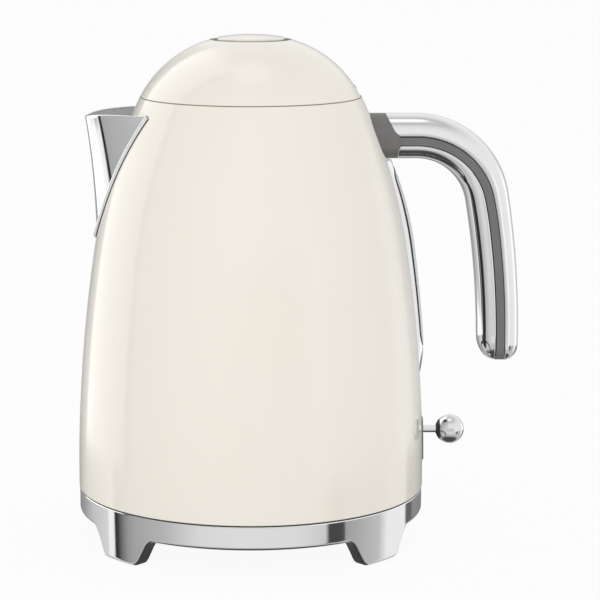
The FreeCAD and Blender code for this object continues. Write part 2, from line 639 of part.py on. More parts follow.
def diffuser():
    keep("diffuser", sleeve("diffuser", "diffuser_radius", "0",
                            "floor_height - pin_gap - diffuser_thickness", "floor_height - pin_gap"))


def heating_element():
    body = document.addObject("PartDesign::Body", "element_coil")
    middle = "floor_height - pin_gap * 3 - diffuser_thickness - element_radius"
    sketch = sketch_on(body, "XZ_Plane", "element_section")
    circle = Part.Circle(FreeCAD.Vector(value("element_circle"), value(middle), 0),
                         FreeCAD.Vector(0, 0, 1), value("element_radius"))
    edge = sketch.addGeometry(circle)
    hold(sketch, "DistanceX", edge, 3, "element_circle")
    hold(sketch, "DistanceY", edge, 3, middle)
    hold(sketch, "Radius", edge, 0, "element_radius")
    feature = body.newObject("PartDesign::Revolution", "element_turn")
    feature.Profile = sketch
    feature.ReferenceAxis = (sketch, ["V_Axis"])
    drive(feature, "Angle", "element_angle")
    body.Tip = feature
    tails = []
    for name, angle in (("first", "tail_angle"), ("last", "element_angle - tail_angle")):
        at = (*around("element_circle", angle), f"{middle} - element_radius * 2")
        tails.append(cylinder(f"tail_{name}", "lever_pin_radius", "element_radius * 2", at))
    keep("heating_element", join("heating_element", body, *tails))


def control_block():
    low = "(socket_roof + run_gap)"
    ceiling = "floor_height - pin_gap * 2 - diffuser_thickness"
    drum = cylinder("control_drum", "block_radius", f"block_top - {low}", ("0", "0", low))
    stand = f"{ceiling} - bimetal_gap - bimetal_thickness - block_top + sink"
    posts = [cylinder("bimetal_stand", "bimetal_post", stand, ("0", "0", "block_top - sink"))]
    for angle in THIRDS:
        at = (*around("block_post_circle", angle), "block_top - sink")
        posts.append(cylinder(f"control_post_{angle}", "block_post_radius",
                              f"{ceiling} - block_top + sink", at))
    keep("control_block", join("control_block", drum, *posts))


def bimetal_disc():
    ceiling = "floor_height - pin_gap * 2 - diffuser_thickness"
    low = f"{ceiling} - bimetal_gap - bimetal_thickness + pin_gap"
    keep("bimetal_disc", sleeve("bimetal_disc", "bimetal_radius", "0", low, f"{low} + bimetal_thickness"))


def steam_tube():
    outer = cylinder("tube_outer", "tube_radius", "tube_top - tube_bottom", ("tube_x", "tube_y", "tube_bottom"))
    bore = cylinder("tube_bore", "tube_radius - tube_wall", "(tube_top - tube_bottom) * 2",
                    ("tube_x", "tube_y", "tube_bottom - tube_wall"))
    keep("steam_tube", cut("steam_tube", outer, bore))


def tube_grommet():
    low = "floor_height - pin_gap"
    high = "floor_height + floor_thickness + pin_gap"
    inner = "tube_radius + pin_gap"
    keep("tube_grommet", turned("tube_grommet", [
        (inner, f"{low} - grommet_lip"),
        ("grommet_flange", f"{low} - grommet_lip"),
        ("grommet_flange", low),
        ("grommet_neck", low),
        ("grommet_neck", high),
        ("grommet_flange", high),
        ("grommet_flange", f"{high} + grommet_lip"),
        (inner, f"{high} + grommet_lip"),
    ]), ("tube_x", "tube_y"))


def steam_switch():
    half = "switch_length / 2"
    top = "tube_bottom - seat_gap"
    case = block("switch_case", (f"tube_x - {half}", f"tube_y - {half}", f"{top} - switch_height"),
                 (f"tube_x + {half}", f"tube_y + {half}", top))
    post = block("switch_stand", ("tube_x - switch_post / 2", "tube_y - switch_post / 2",
                                  "plate_top + chassis_floor"),
                 ("tube_x + switch_post / 2", "tube_y + switch_post / 2", f"{top} - switch_height / 2"))
    keep("steam_switch", join("steam_switch", case, post))


# Lever and trip rod

def lever_bracket():
    floor = "plate_top + chassis_floor"
    outer = "hub_half + cheek_gap + cheek"
    top = "lever_height + hub_radius"
    base = block("bracket_base", ("bracket_post_x", f"-({outer})", floor),
                 ("pivot_x + cheek_length / 2", outer, f"{floor} + cheek"))
    post = block("bracket_post", ("bracket_post_x", f"-({outer})", floor),
                 ("bracket_post_x + bracket_post", outer, "guide_bottom + guide_thickness"))
    guide = block("bracket_guide", ("bracket_post_x", f"-({outer})", "guide_bottom"),
                  ("rod_x + rod_radius + guide_wall", outer, "guide_bottom + guide_thickness"))
    cheeks = []
    for side in (-1, 1):
        low_y = "hub_half + cheek_gap" if side == 1 else f"-({outer})"
        high_y = outer if side == 1 else "-(hub_half + cheek_gap)"
        cheeks.append(block(f"cheek_{side + 1}", ("pivot_x - cheek_length / 2", low_y, floor),
                            ("pivot_x + cheek_length / 2", high_y, top)))
    pin_hole = cylinder("bracket_pin_hole", "lever_pin_radius", f"4 * ({outer})",
                        ("pivot_x", f"-2 * ({outer})", "lever_height"), "y")
    rod_hole = cylinder("bracket_rod_hole", "rod_radius + pin_gap", "guide_thickness * 3",
                        ("rod_x", "0", "guide_bottom - guide_thickness"))
    solid = join("bracket_solid", base, post, guide, *cheeks)
    keep("lever_bracket", cut("lever_bracket", solid, pin_hole, rod_hole))


def lever_pin():
    outer = "hub_half + cheek_gap + cheek"
    pin = cylinder("lever_pin_rod", "lever_pin_radius", f"2 * ({outer})",
                   ("pivot_x", f"-({outer})", "lever_height"), "y")
    keep("lever_pin", group("lever_pin", pin))


def lever_arm():
    stem = cylinder("lever_stem", "stem_radius", "knob_bore_end - pivot_x",
                    ("pivot_x", "0", "lever_height"), "x")
    hub = cylinder("lever_hub", "hub_radius", "2 * hub_half", ("pivot_x", "-hub_half", "lever_height"), "y")
    tail = block("lever_tail", ("tail_x", "-tail_half", "lever_height - tail_half"),
                 ("pivot_x", "tail_half", "lever_height + tail_half"))
    hole = cylinder("lever_hole", "lever_pin_radius + pin_gap", "4 * hub_half",
                    ("pivot_x", "-2 * hub_half", "lever_height"), "y")
    keep("lever_arm", cut("lever_arm", join("lever_solid", stem, hub, tail), hole))


def lever_knob():
    ball = primitive("Sphere", "knob_ball", {"Radius": "knob_radius"}, ("knob_x", "0", "lever_height"))
    bore = cylinder("knob_bore", "stem_radius + pin_gap", "2 * knob_radius",
                    ("knob_bore_end + pin_gap - 2 * knob_radius", "0", "lever_height"), "x")
    keep("lever_knob", cut("lever_knob", ball, bore))


def trip_rod():
    low = "lever_height + tail_half + run_gap + seat_gap"
    shaft = cylinder("trip_rod_shaft", "rod_radius", "rod_length", ("rod_x", "0", low))
    keep("trip_rod", group("trip_rod", shaft))


def lever_plate(outside):
    skin = envelope("escutcheon_skin", "-seat_gap - escutcheon")
    frame = block("escutcheon_block", ("0", "-escutcheon_half", "escutcheon_low"),
                  ("2 * barrel_radius", "escutcheon_half", "escutcheon_high"))
    slot = block("escutcheon_slot", ("0", "-slot_half", "slot_low"),
                 ("2 * barrel_radius", "slot_half", "slot_high"))
    keep("lever_plate", cut("lever_plate", shared("escutcheon_form", skin, frame), outside, slot))


# Body, spout and filter

def spout_form(name, shift, widen):
    """A stack of parabolas, one behind the nose at each height, lofted into a solid."""
    wires = []
    back = -value("spout_back")
    for level in ("top", "high", "low", "root"):
        height = value(f"spout_{level}")
        nose = -value(f"reach_{level}") + shift
        half = math.sqrt(value(f"blunt_{level}") * (back - nose)) + widen
        curve = Part.BezierCurve()
        curve.setPoles([FreeCAD.Vector(back, -half, height), FreeCAD.Vector(2 * nose - back, 0, height),
                        FreeCAD.Vector(back, half, height)])
        closing = Part.LineSegment(FreeCAD.Vector(back, half, height), FreeCAD.Vector(back, -half, height))
        wires.append(Part.Wire([curve.toShape(), closing.toShape()]))
    form = document.addObject("Part::Feature", name)
    form.Shape = Part.makeLoft(wires, True, False)
    return form


def rim_cut():
    """What lies above the spout's tilted rim."""
    box = block("rim_block", ("-2 * barrel_radius", "-barrel_radius", "0"),
                ("barrel_radius", "barrel_radius", "shoulder_height"))
    box.Placement = FreeCAD.Placement(
        FreeCAD.Vector(), FreeCAD.Rotation(FreeCAD.Vector(0, 1, 0), -value("spout_rim_tilt")))
    drive(box, ".Placement.Base.x", "-2 * barrel_radius")
    drive(box, ".Placement.Base.y", "-barrel_radius")
    drive(box, ".Placement.Base.z", "spout_rim - (2 * barrel_radius - reach_top) * tan(spout_rim_tilt)")
    return box


def spout(above):
    wall = value("spout_wall")
    outer = spout_form("spout_outer", 0, 0)
    inner = spout_form("spout_inner", wall, -wall)
    wide = spout_form("spout_wide", -value("flange_nose"), value("flange_width"))
    widest = spout_form("spout_widest", -value("flange_nose"), value("flange_width + gasket_edge"))
    base = envelope("spout_seat", "-seat_gap - gasket_thickness - seat_gap")
    collar = envelope("spout_collar", "-2 * seat_gap - gasket_thickness - flange_thickness")
    flange = shared("spout_flange", wide, collar)
    solid = join("spout_solid", outer, flange)
    keep("spout", cut("spout", solid, join("spout_away", base, inner, above)))
    gasket_skin = envelope("gasket_skin", "-seat_gap - gasket_thickness")
    body_skin = envelope("gasket_seat", "-seat_gap")
    form = shared("gasket_form", widest, gasket_skin)
    keep("spout_gasket", cut("spout_gasket", form, join("gasket_away", body_skin, inner, above)))
    return inner


def neck_way(name):
    """The slot that the gauge lens's neck passes through."""
    return block(name, ("hinge_x", "-lens_neck_half - seat_gap", "window_low + lens_shoulder - seat_gap"),
                 ("2 * barrel_radius", "lens_neck_half + seat_gap", "window_high - lens_shoulder + seat_gap"))


def body_shell(spout_way, above):
    shell = turned("shell_wall", [
        (lower("body_bottom"), "body_bottom", "barrel_sweep", "left"),
        (lower("shoulder_height"), "shoulder_height", "shoulder_sweep", "left"),
        (upper("rim_height"), "rim_height"),
        (upper("rim_height - rim_drop", "wall"), "rim_height - rim_drop", "shoulder_sweep - wall", "right"),
        (lower("shoulder_height", "wall"), "shoulder_height", "barrel_sweep - wall", "right"),
        (lower("body_bottom", "wall"), "body_bottom"),
    ])
    opening = cut("spout_opening", spout_way, above)
    slot = block("lever_slot", ("0", "-slot_half", "slot_low"), ("2 * barrel_radius", "slot_half", "slot_high"))
    window = neck_way("gauge_slot")
    holes = []
    for level in ("high", "low"):
        holes.append(cylinder(f"shell_screw_hole_{level}", "handle_screw_radius + pin_gap", "barrel_radius",
                              ("hinge_x", "0", f"handle_screw_{level}"), "x"))
    keep("body_shell", cut("body_shell", shell, opening, slot, window, *holes))


def spout_filter():
    outer = envelope("filter_outer", "wall + run_gap")
    inner = envelope("filter_inner", "wall + run_gap + filter_thickness")
    far = "-2 * barrel_radius"
    whole = block("filter_whole", (far, "-filter_half", "filter_low"), ("0", "filter_half", "filter_high"))
    window = block("filter_window", (far, "filter_border - filter_half", "filter_low + filter_border"),
                   ("0", "filter_half - filter_border", "filter_high - filter_border"))
    keep("filter_frame", cut("filter_frame", shared("filter_form", outer, whole), inner, window))
    mesh_out = envelope("mesh_outer", "wall + run_gap + filter_thickness / 2")
    mesh_in = envelope("mesh_inner", "wall + run_gap + filter_thickness / 2 + mesh_thickness")
    slots = []
    count = int((value("filter_high - filter_low") - 2 * value("filter_border")) / value("mesh_pitch"))
    for index in range(count):
        low = f"filter_low + filter_border + ({index} + 0.5) * mesh_pitch"
        slots.append(block(f"mesh_slot_{index}", (far, "2 * filter_border - filter_half", low),
                           ("0", "filter_half - 2 * filter_border", f"{low} + mesh_slot")))
    keep("filter_mesh", cut("filter_mesh", shared("mesh_form", mesh_out, window), mesh_in, *slots))


# Water gauge

def gauge_outline(recess):
    """Side view of the gauge, its outer curve drawn in by a recess."""
    return [
        ("hinge_x", "gauge_top"),
        ("hinge_x", "gauge_end"),
        (f"gauge_end_reach - ({recess})", "gauge_end", f"gauge_end_sweep - ({recess})", "left"),
        (f"gauge_low_reach - ({recess})", "gauge_low", f"gauge_lower_sweep - ({recess})", "left"),
        (f"gauge_mid_reach - ({recess})", "gauge_mid", f"gauge_upper_sweep - ({recess})", "left"),
        (f"gauge_top_reach - ({recess})", "gauge_top"),
    ]


def outer_edges(feature, least):
    """Names the edges that follow the gauge's outer curve, further out than the least reach."""
    names = []
    for index, edge in enumerate(feature.Shape.Edges, start=1):
        middle = edge.valueAt((edge.FirstParameter + edge.LastParameter) / 2)
        curved = edge.Curve.TypeId == "Part::GeomCircle"
        if curved and middle.x > least:
            names.append(f"Edge{index}")
    return names


def water_gauge(outside):
    frame = padded("gauge_block", "XZ_Plane", gauge_outline("0"), "2 * gauge_half")
    document.recompute()
    pad = frame.Tip
    rounded = frame.newObject("PartDesign::Fillet", "gauge_fillet")
    rounded.Base = (pad, outer_edges(pad, value(upper("gauge_top"))))
    drive(rounded, "Radius", "gauge_round")
    frame.Tip = rounded
    document.recompute()
    window = block("gauge_window", ("hinge_x", "-window_half", "window_low"),
                   ("2 * barrel_radius", "window_half", "window_high"))
    keep("gauge_frame", cut("gauge_frame", frame, outside, window))
    seat = envelope("lens_seat", "-seat_gap - gauge_seal")
    form = padded("lens_form", "XZ_Plane", gauge_outline("lens_recess"), "2 * (window_half - seat_gap)")
    trim = block("lens_trim", ("hinge_x", "-window_half", "window_low + seat_gap"),
                 ("2 * barrel_radius", "window_half", "window_high - seat_gap"))
    head = cut("lens_head", shared("lens_outer", form, trim), seat)
    neck_block = block("lens_neck_block", ("hinge_x", "-lens_neck_half", "window_low + lens_shoulder"),
                       ("2 * barrel_radius", "lens_neck_half", "window_high - lens_shoulder"))
    inside = envelope("lens_inside", "wall * 2")
    near = envelope("lens_near", "-seat_gap - gauge_seal * 2")
    neck = cut("lens_neck", shared("lens_neck_form", neck_block, near), inside)
    keep("gauge_lens", join("gauge_lens", head, neck))
    band = shared("gauge_seal_form", seat, trim,
                  padded("gauge_seal_width", "XZ_Plane", gauge_outline("0"), "2 * (window_half - seat_gap)"))
    keep("gauge_seal", cut("gauge_seal", band, outside, neck_way("gauge_seal_hole")))


# Handle

def crown(sign, inset, flat):
    """Half of the handle's section, from its flat up over the crown, inset from the outside."""
    corner_y = "(handle_half - handle_corner)"
    crown_mid = "(handle_crown - crown_sweep)"
    corner_v = f"(sqrt((crown_sweep - handle_corner)^2 - {corner_y}^2) + {crown_mid})"
    scale = f"(crown_sweep - ({inset})) / (crown_sweep - handle_corner)"
    touch_y = f"{corner_y} * {scale}"
    touch_v = f"({crown_mid} + ({corner_v} - {crown_mid}) * {scale})"
    side = f"(handle_half - ({inset}))"
    turn = "right" if sign == 1 else "left"
    points = [
        (f"-{side}", flat),
        (f"-{side}", corner_v, f"handle_corner - ({inset})", turn),
        (f"-{touch_y}", touch_v, f"crown_sweep - ({inset})", turn),
        (touch_y, touch_v, f"handle_corner - ({inset})", turn),
        (side, corner_v),
        (side, flat),
    ]
    return [(point[0], f"handle_height + {sign} * ({point[1]})", *point[2:]) for point in points]


def reverse(corners):
    """The same edges taken the other way."""
    result = []
    flip = {"left": "right", "right": "left"}
    for index in range(len(corners) - 1, -1, -1):
        before = corners[index - 1] if index > 0 else ()
        arc = (before[2], flip[before[3]]) if len(before) > 2 else ()
        result.append((*corners[index][:2], *arc))
    return result


def end_corner(name, plane, near, sign):
    """What a rounded lower end leaves off at one corner, on the low (1) or the high (-1) side."""
    inward = f"{near} + {sign} * end_round"
    reach = f"{near} - {sign} * end_round"
    return padded(name, plane, [
        (near, "handle_end + end_round", "end_round", "left" if sign == 1 else "right"),
        (inward, "handle_end"),
        (inward, "handle_end - end_round"),
        (reach, "handle_end - end_round"),
        (reach, "handle_end + end_round"),
    ], "4 * barrel_radius")


def handle(outside):
    grip = f"({GRIP_X} + grip_sweep)"
    ends = join("handle_end_round",
                end_corner("end_outer", "XZ_Plane", f"({grip} + handle_crown)", -1),
                end_corner("end_inner", "XZ_Plane", f"({grip} - handle_crown)", 1))
    side_ends = join("handle_side_round", end_corner("end_left", "YZ_Plane", "(0 - handle_half)", 1),
                     end_corner("end_right", "YZ_Plane", "handle_half", -1))
    far = block("handle_far", ("bend_x", "-2 * handle_half", "0"),
                ("3 * barrel_radius", "2 * handle_half", "handle_height - bend_radius"))
    rounding = join("handle_rounding", shared("end_cut", ends, far), shared("side_cut", side_ends, far))

    low = "handle_height - handle_crown - sink"
    high = "handle_height + handle_crown + sink"
    mount_side = [
        ("handle_start - handle_crown", low),
        ("mount_low_x", low),
        ("mount_low_x + (handle_crown - strip_half) * tan(lean)", "handle_height - strip_half"),
        ("mount_mid_x", "handle_height + strip_half"),
        ("mount_top_x", high),
        ("handle_start - handle_crown", high),
    ]
    mount_block = padded("mount_block", "XZ_Plane", mount_side, "3 * handle_half")
    whole = crown(1, "0", "0")[1:5] + reverse(crown(-1, "0", "0")[1:5])
    bar = padded("mount_bar", "YZ_Plane", whole, "mount_mid_x", "handle_start - handle_crown", False)
    mount = shared("handle_mount", mount_block, bar)

    strip = swept("handle_strip", [
        ("strip_inset - handle_half", "handle_height - strip_half"),
        ("-rib_half", "handle_height - strip_half"),
        ("-rib_half", "handle_height - rib_height"),
        ("rib_half", "handle_height - rib_height"),
        ("rib_half", "handle_height - strip_half"),
        ("handle_half - strip_inset", "handle_height - strip_half"),
        ("handle_half - strip_inset", "handle_height + strip_half"),
        ("rib_half", "handle_height + strip_half"),
        ("rib_half", "handle_height + rib_height"),
        ("-rib_half", "handle_height + rib_height"),
        ("-rib_half", "handle_height + strip_half"),
        ("strip_inset - handle_half", "handle_height + strip_half"),
    ])
    holes = []
    for level in ("high", "low"):
        at = ("hinge_x", "0", f"handle_screw_{level}")
        holes.append(cylinder(f"core_screw_hole_{level}", "handle_screw_radius + pin_gap",
                              "handle_screw_end - hinge_x + pin_gap", at, "x"))
    core = join("core_solid", strip, mount)
    keep("handle_core", cut("handle_core", core, join("core_away", outside, rounding, *holes)))

    gap_side = [(f"{x} + mount_gap", z) for x, z in mount_side]
    gap_block = padded("mount_gap_block", "XZ_Plane", gap_side, "4 * handle_half")
    for label, sign in (("handle_outer", 1), ("handle_inner", -1)):
        flat = "strip_half + pin_gap"
        groove = [(f"{side} * (rib_half + pin_gap)", f"handle_height + {sign} * ({depth})") for side, depth in
                  ((1, flat), (1, "rib_height + pin_gap"), (-1, "rib_height + pin_gap"), (-1, flat))]
        section = crown(sign, "0", flat) + groove
        shell = swept(label + "_sweep", section)
        keep(label, cut(label, shell, join(label + "_away", gap_block, rounding)))


def handle_screws():
    screws = []
    low_start = upper("handle_screw_low + 2 * handle_screw_radius", "wall")
    for level, start in (("high", "hinge_foot_x"), ("low", low_start)):
        at = (start, "0", f"handle_screw_{level}")
        head_at = (f"{start} - handle_screw_radius", "0", f"handle_screw_{level}")
        shank = cylinder(f"handle_shank_{level}", "handle_screw_radius", f"handle_screw_end - {start}", at, "x")
        head = cylinder(f"handle_head_{level}", "handle_screw_head", "handle_screw_radius", head_at, "x")
        screws.append(join(f"handle_screw_{level}", shank, head))
    keep("handle_screws", group("handle_screws", *screws))


# Lid

def hinge_block(inside):
    side = padded("hinge_side", "XZ_Plane", [
        ("hinge_x - knuckle_radius", "hinge_z"),
        ("hinge_x - knuckle_radius", "pan_floor"),
        ("hinge_foot_x", "handle_screw_high + handle_screw_radius * 2"),
        ("hinge_foot_x", "hinge_foot"),
        ("barrel_radius", "hinge_foot"),
        ("barrel_radius", "lid_seal_low"),
        ("hinge_x + knuckle_radius", "lid_seal_low"),
        ("hinge_x + knuckle_radius", "hinge_z"),
    ], "2 * knuckle_half")
    barrel = cylinder("hinge_barrel", "knuckle_radius", "2 * knuckle_half",
                      ("hinge_x", "-knuckle_half", "hinge_z"), "y")
    hole = cylinder("hinge_block_hole", "hinge_pin_radius", "4 * knuckle_half",
                    ("hinge_x", "-2 * knuckle_half", "hinge_z"), "y")
    way = cylinder("hinge_screw_way", "handle_screw_radius + pin_gap", "barrel_radius",
                   ("hinge_x - knuckle_radius", "0", "handle_screw_high"), "x")
    web = shared("hinge_web", side, inside)
    keep("hinge_block", cut("hinge_block", join("hinge_solid", web, barrel), hole, way))


def hinge_pin():
    pin = cylinder("hinge_pin_rod", "hinge_pin_radius", "2 * lug_half",
                   ("hinge_x", "-lug_half", "hinge_z"), "y")
    keep("hinge_pin", group("hinge_pin", pin))


def latch_keeper(inside):
    strip = block("keeper_block", ("-barrel_radius", "-bolt_half", "keeper_low"),
                  ("-keeper_reach", "bolt_half", "keeper_high"))
    keep("latch_keeper", shared("latch_keeper", strip, inside))


def hinge_notch(name, near, low, high):
    """Room in the lid for the fixed knuckle and its web."""
    half = "knuckle_half + hinge_gap"
    return block(name, (near, f"-({half})", low), ("2 * lid_radius", half, high))


def lug_room(name):
    """Room in the lid for the turning knuckles."""
    return cylinder(name, "knuckle_radius + seat_gap", "2 * lug_half + 2 * seat_gap",
                    ("hinge_x", "-lug_half - seat_gap", "hinge_z"), "y")


def lid_dome():
    shell = turned("dome_shell", [
        ("lid_radius", "lid_edge", "dome_sweep", "left"),
        ("dome_hole", "dome_top"),
        ("dome_hole", "dome_top - dome_wall", "dome_sweep - dome_wall", "right"),
        ("lid_radius - dome_lip", "lid_edge"),
    ])
    notch = hinge_notch("dome_notch", "notch_x", "lid_edge - sink", "hinge_z + 4 * knuckle_radius")
    keep("lid_dome", cut("lid_dome", shell, notch, lug_room("dome_lug_room")))


def lid_pan():
    pan = turned("pan_dish", [
        ("0", "pan_floor"),
        ("pan_radius", "pan_floor"),
        ("pan_radius", "pan_top"),
        ("pan_radius - pan_wall", "pan_top"),
        ("pan_radius - pan_wall", "pan_floor + pan_wall"),
        ("tower_radius", "pan_floor + pan_wall"),
        ("tower_radius", "tower_top"),
        ("stem_size + run_gap", "tower_top"),
        ("stem_size + run_gap", "pan_floor + pan_wall"),
        ("0", "pan_floor + pan_wall"),
    ])
    notch = hinge_notch("pan_notch", "notch_x", "pan_floor - dome_wall", "dome_top")
    bolt = block("pan_bolt_way", ("-2 * pan_radius", "-bolt_half - run_gap", "bolt_low - run_gap"),
                 ("-pan_radius / 2", "bolt_half + run_gap", "bolt_high + run_gap"))
    keep("lid_pan", cut("lid_pan", pan, notch, bolt, lug_room("pan_lug_room")))


def lid_lugs():
    outer = cylinder("lug_barrel", "knuckle_radius", "2 * lug_half", ("hinge_x", "-lug_half", "hinge_z"), "y")
    arm = block("lug_arm", ("hinge_x - 4 * knuckle_radius", "-lug_half", "hinge_z - knuckle_radius / 2"),
                ("hinge_x", "lug_half", "hinge_z + knuckle_radius / 2"))
    middle = hinge_notch("lug_middle", "hinge_x - 5 * knuckle_radius", "pan_floor", "dome_top")
    hole = cylinder("lug_hole", "hinge_pin_radius + pin_gap", "4 * lug_half",
                    ("hinge_x", "-2 * lug_half", "hinge_z"), "y")
    inner = turned("lug_dome", [
        ("0", "pan_floor"),
        ("lid_radius", "pan_floor"),
        ("lid_radius - dome_lip - seat_gap", "lid_edge", "dome_sweep - dome_wall - seat_gap", "left"),
        ("dome_hole", "dome_top - dome_wall - seat_gap"),
        ("0", "dome_top - dome_wall - seat_gap"),
    ])
    arms = shared("lug_arms", arm, inner)
    keep("lid_lugs", cut("lid_lugs", join("lug_solid", outer, arms), middle, hole))


def lid_seal():
    ring = sleeve("lid_seal_ring", "lid_seal_radius", "pan_radius + seat_gap", "lid_seal_low", "lid_seal_high")
    notch = hinge_notch("seal_notch", "0", "pan_floor", "dome_top")
    bolt = block("seal_bolt_way", ("-2 * pan_radius", "-bolt_half - run_gap", "bolt_low"),
                 ("0", "bolt_half + run_gap", "bolt_high + run_gap"))
    keep("lid_seal", cut("lid_seal", ring, notch, bolt))


def lid_trim_ring():
    keep("lid_trim_ring", turned("lid_trim_ring", [
        ("ring_inner", "trim_low"),
        ("trim_flange", "trim_low"),
        ("trim_flange", "trim_low + trim_flange_thickness"),
        ("dome_hole - seat_gap", "trim_low + trim_flange_thickness"),
        ("dome_hole - seat_gap", "trim_top"),
        ("ring_inner", "trim_top"),
    ]))


def lid_button():
    rise = "crown_rise"
    keep("lid_button", turned("lid_button", [
        ("0", "button_shoulder - button_wall"),
        ("0", "button_crown", f"((button_radius - button_round)^2 + {rise}^2) / (2 * {rise})", "right"),
        ("button_radius - button_round", "button_shoulder", "button_round", "right"),
        ("button_radius", "button_shoulder - button_round"),
        ("button_radius", "button_low"),
        ("button_radius - button_wall", "button_low"),
        ("button_radius - button_wall", "button_shoulder - button_wall"),
    ]))


def button_stem():
    top = "button_shoulder - button_wall - seat_gap"
    stem = cylinder("stem_rod", "stem_size", f"{top} - stem_low", ("0", "0", "stem_low"))
    keep("button_stem", group("button_stem", stem))


def button_spring():
    low = "tower_top + seat_gap"
    high = "button_shoulder - button_wall - run_gap"
    keep("button_spring", sleeve("button_spring", "spring_radius + spring_wire", "spring_radius - spring_wire",
                                 low, high))


def lid_latch():
    bolt = block("bolt_bar", ("-bolt_tip", "-bolt_half", "bolt_low"), ("-bolt_tail", "bolt_half", "bolt_high"))
    keep("lid_latch", group("lid_latch", bolt))
    spring = cylinder("latch_spring_rod", "latch_spring_radius", "bolt_tail - tower_radius - 2 * run_gap",
                      ("run_gap - bolt_tail", "0", "(bolt_low + bolt_high) / 2"), "x")
    keep("latch_spring", group("latch_spring", spring))


def build():
    """Makes every sub-part in turn."""
    fill_sheet()
    outside = envelope("outside", "-seat_gap")
    inside = envelope("inside", "wall + seat_gap")
    base_ring()
    foot_pads()
    base_top_plate()
    base_bottom_cover()
    base_screws()
    base_connector()
    base_contacts()
    cord_gland()
    terminal_block()
    kettle_socket()
    socket_contacts()
    chassis()
    chassis_screws()
    heating_plate()
    floor_seal()
    diffuser()
    heating_element()
    control_block()
    bimetal_disc()
    steam_tube()
    tube_grommet()
    steam_switch()
    lever_bracket()
    lever_pin()
    lever_arm()
    lever_knob()
    trip_rod()
    lever_plate(outside)
    above = rim_cut()
    spout_way = spout(above)
    body_shell(spout_way, above)
    spout_filter()
    water_gauge(outside)
    handle(outside)
    handle_screws()
    hinge_block(inside)
    hinge_pin()
    latch_keeper(inside)
    lid_dome()
    lid_pan()
    lid_lugs()
    lid_seal()
    lid_trim_ring()
    lid_button()
    button_stem()
    button_spring()
    lid_latch()


def check():
    """Stops if any object failed or any sub-part is empty or faulty."""
    document.recompute()
    faults = [thing.Label for thing in document.Objects if {"Invalid", "Error"} & set(thing.State)]
    for piece in pieces:
        if piece.Shape.isNull() or not piece.Shape.isValid() or not piece.Shape.Solids:
            faults.append(piece.Label)
    if faults:
        raise SystemExit("faulty: " + ", ".join(faults))


def write():
    """Writes one file for each sub-part."""
    os.makedirs("parts", exist_ok=True)
    for piece in pieces:
        piece.Shape.exportStep(f"parts/{piece.Label}.step")
        box = piece.Shape.BoundBox
        print(f"{piece.Label}: {len(piece.Shape.Solids)} solids, {piece.Shape.Volume:.0f} mm3,"
              f" x {box.XMin:.1f} to {box.XMax:.1f}, z {box.ZMin:.1f} to {box.ZMax:.1f}")


build()
check()
write()
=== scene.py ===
"""Cream retro electric kettle: finishes, fine forms, floor and studio light.

The classes hold their sizes in millimetres from the jug's axis and the table. The jug and the inner nodes are
left out of mirror reflections, so that the chrome shows the studio's walls.
"""
import json
import logging
import math
from abc import ABC, abstractmethod
from dataclasses import dataclass
from enum import Enum
from typing import Any, Callable, Iterable, Sequence

import bmesh
import bpy
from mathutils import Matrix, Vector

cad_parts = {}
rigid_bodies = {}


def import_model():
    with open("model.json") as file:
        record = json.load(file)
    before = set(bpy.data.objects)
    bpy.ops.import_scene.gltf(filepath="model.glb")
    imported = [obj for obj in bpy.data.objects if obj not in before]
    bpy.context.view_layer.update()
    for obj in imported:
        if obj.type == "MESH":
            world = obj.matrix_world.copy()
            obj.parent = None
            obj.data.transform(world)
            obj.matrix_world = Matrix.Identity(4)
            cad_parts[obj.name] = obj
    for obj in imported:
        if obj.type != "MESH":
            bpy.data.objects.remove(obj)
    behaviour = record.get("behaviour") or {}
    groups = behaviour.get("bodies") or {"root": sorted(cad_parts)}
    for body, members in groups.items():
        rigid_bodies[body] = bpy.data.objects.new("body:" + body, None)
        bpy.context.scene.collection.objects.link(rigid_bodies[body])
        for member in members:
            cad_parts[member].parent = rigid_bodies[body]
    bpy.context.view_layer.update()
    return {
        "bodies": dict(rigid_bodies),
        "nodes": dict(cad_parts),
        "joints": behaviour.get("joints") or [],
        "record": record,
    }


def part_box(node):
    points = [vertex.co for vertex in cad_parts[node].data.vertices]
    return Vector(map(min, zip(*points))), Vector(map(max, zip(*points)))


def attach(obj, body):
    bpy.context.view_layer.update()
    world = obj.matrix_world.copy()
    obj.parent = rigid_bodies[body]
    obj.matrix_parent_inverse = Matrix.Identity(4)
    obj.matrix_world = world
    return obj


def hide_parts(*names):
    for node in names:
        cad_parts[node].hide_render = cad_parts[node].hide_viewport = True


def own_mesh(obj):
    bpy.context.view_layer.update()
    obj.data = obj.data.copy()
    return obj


LOG = logging.getLogger("kettle")
MM = 0.001
AXIS_X = -0.023873          # the jug's upright axis, in metres
IMAGE_SIDE = 600            # the picture is taken as 600 x 600
MIRRORED = ("lever_arm", "lever_knob", "lid_dome", "lid_button")    # the nodes that show in the chrome
CREASE, ROUND_CREASE = 38.0, 80.0   # degrees above which an edge stays sharp, and the same on a thin roll
WELD = 0.004                # millimetres below which corners are joined

Pair = tuple[float, float]
Point = tuple[float, float, float]
Bands = tuple[Pair, ...]
Shell = tuple[list[Point], list[list[int]]]         # points in millimetres from the jug's axis, and faces
FaceTest = Callable[[Point, Point], bool]           # says yes or no to a face's middle and the way it looks


def linear(code: str) -> tuple[float, float, float, float]:
    """Turns an sRGB hex colour into linear light.

    Args:
        code: six hex digits, with or without a leading hash.

    Returns:
        Red, green, blue and an alpha of 1.
    """
    digits = code.lstrip("#")
    shades = [int(digits[at:at + 2], 16) / 255 for at in (0, 2, 4)]
    light = [s / 12.92 if s <= 0.04045 else ((s + 0.055) / 1.055) ** 2.4 for s in shades]
    return light[0], light[1], light[2], 1.0


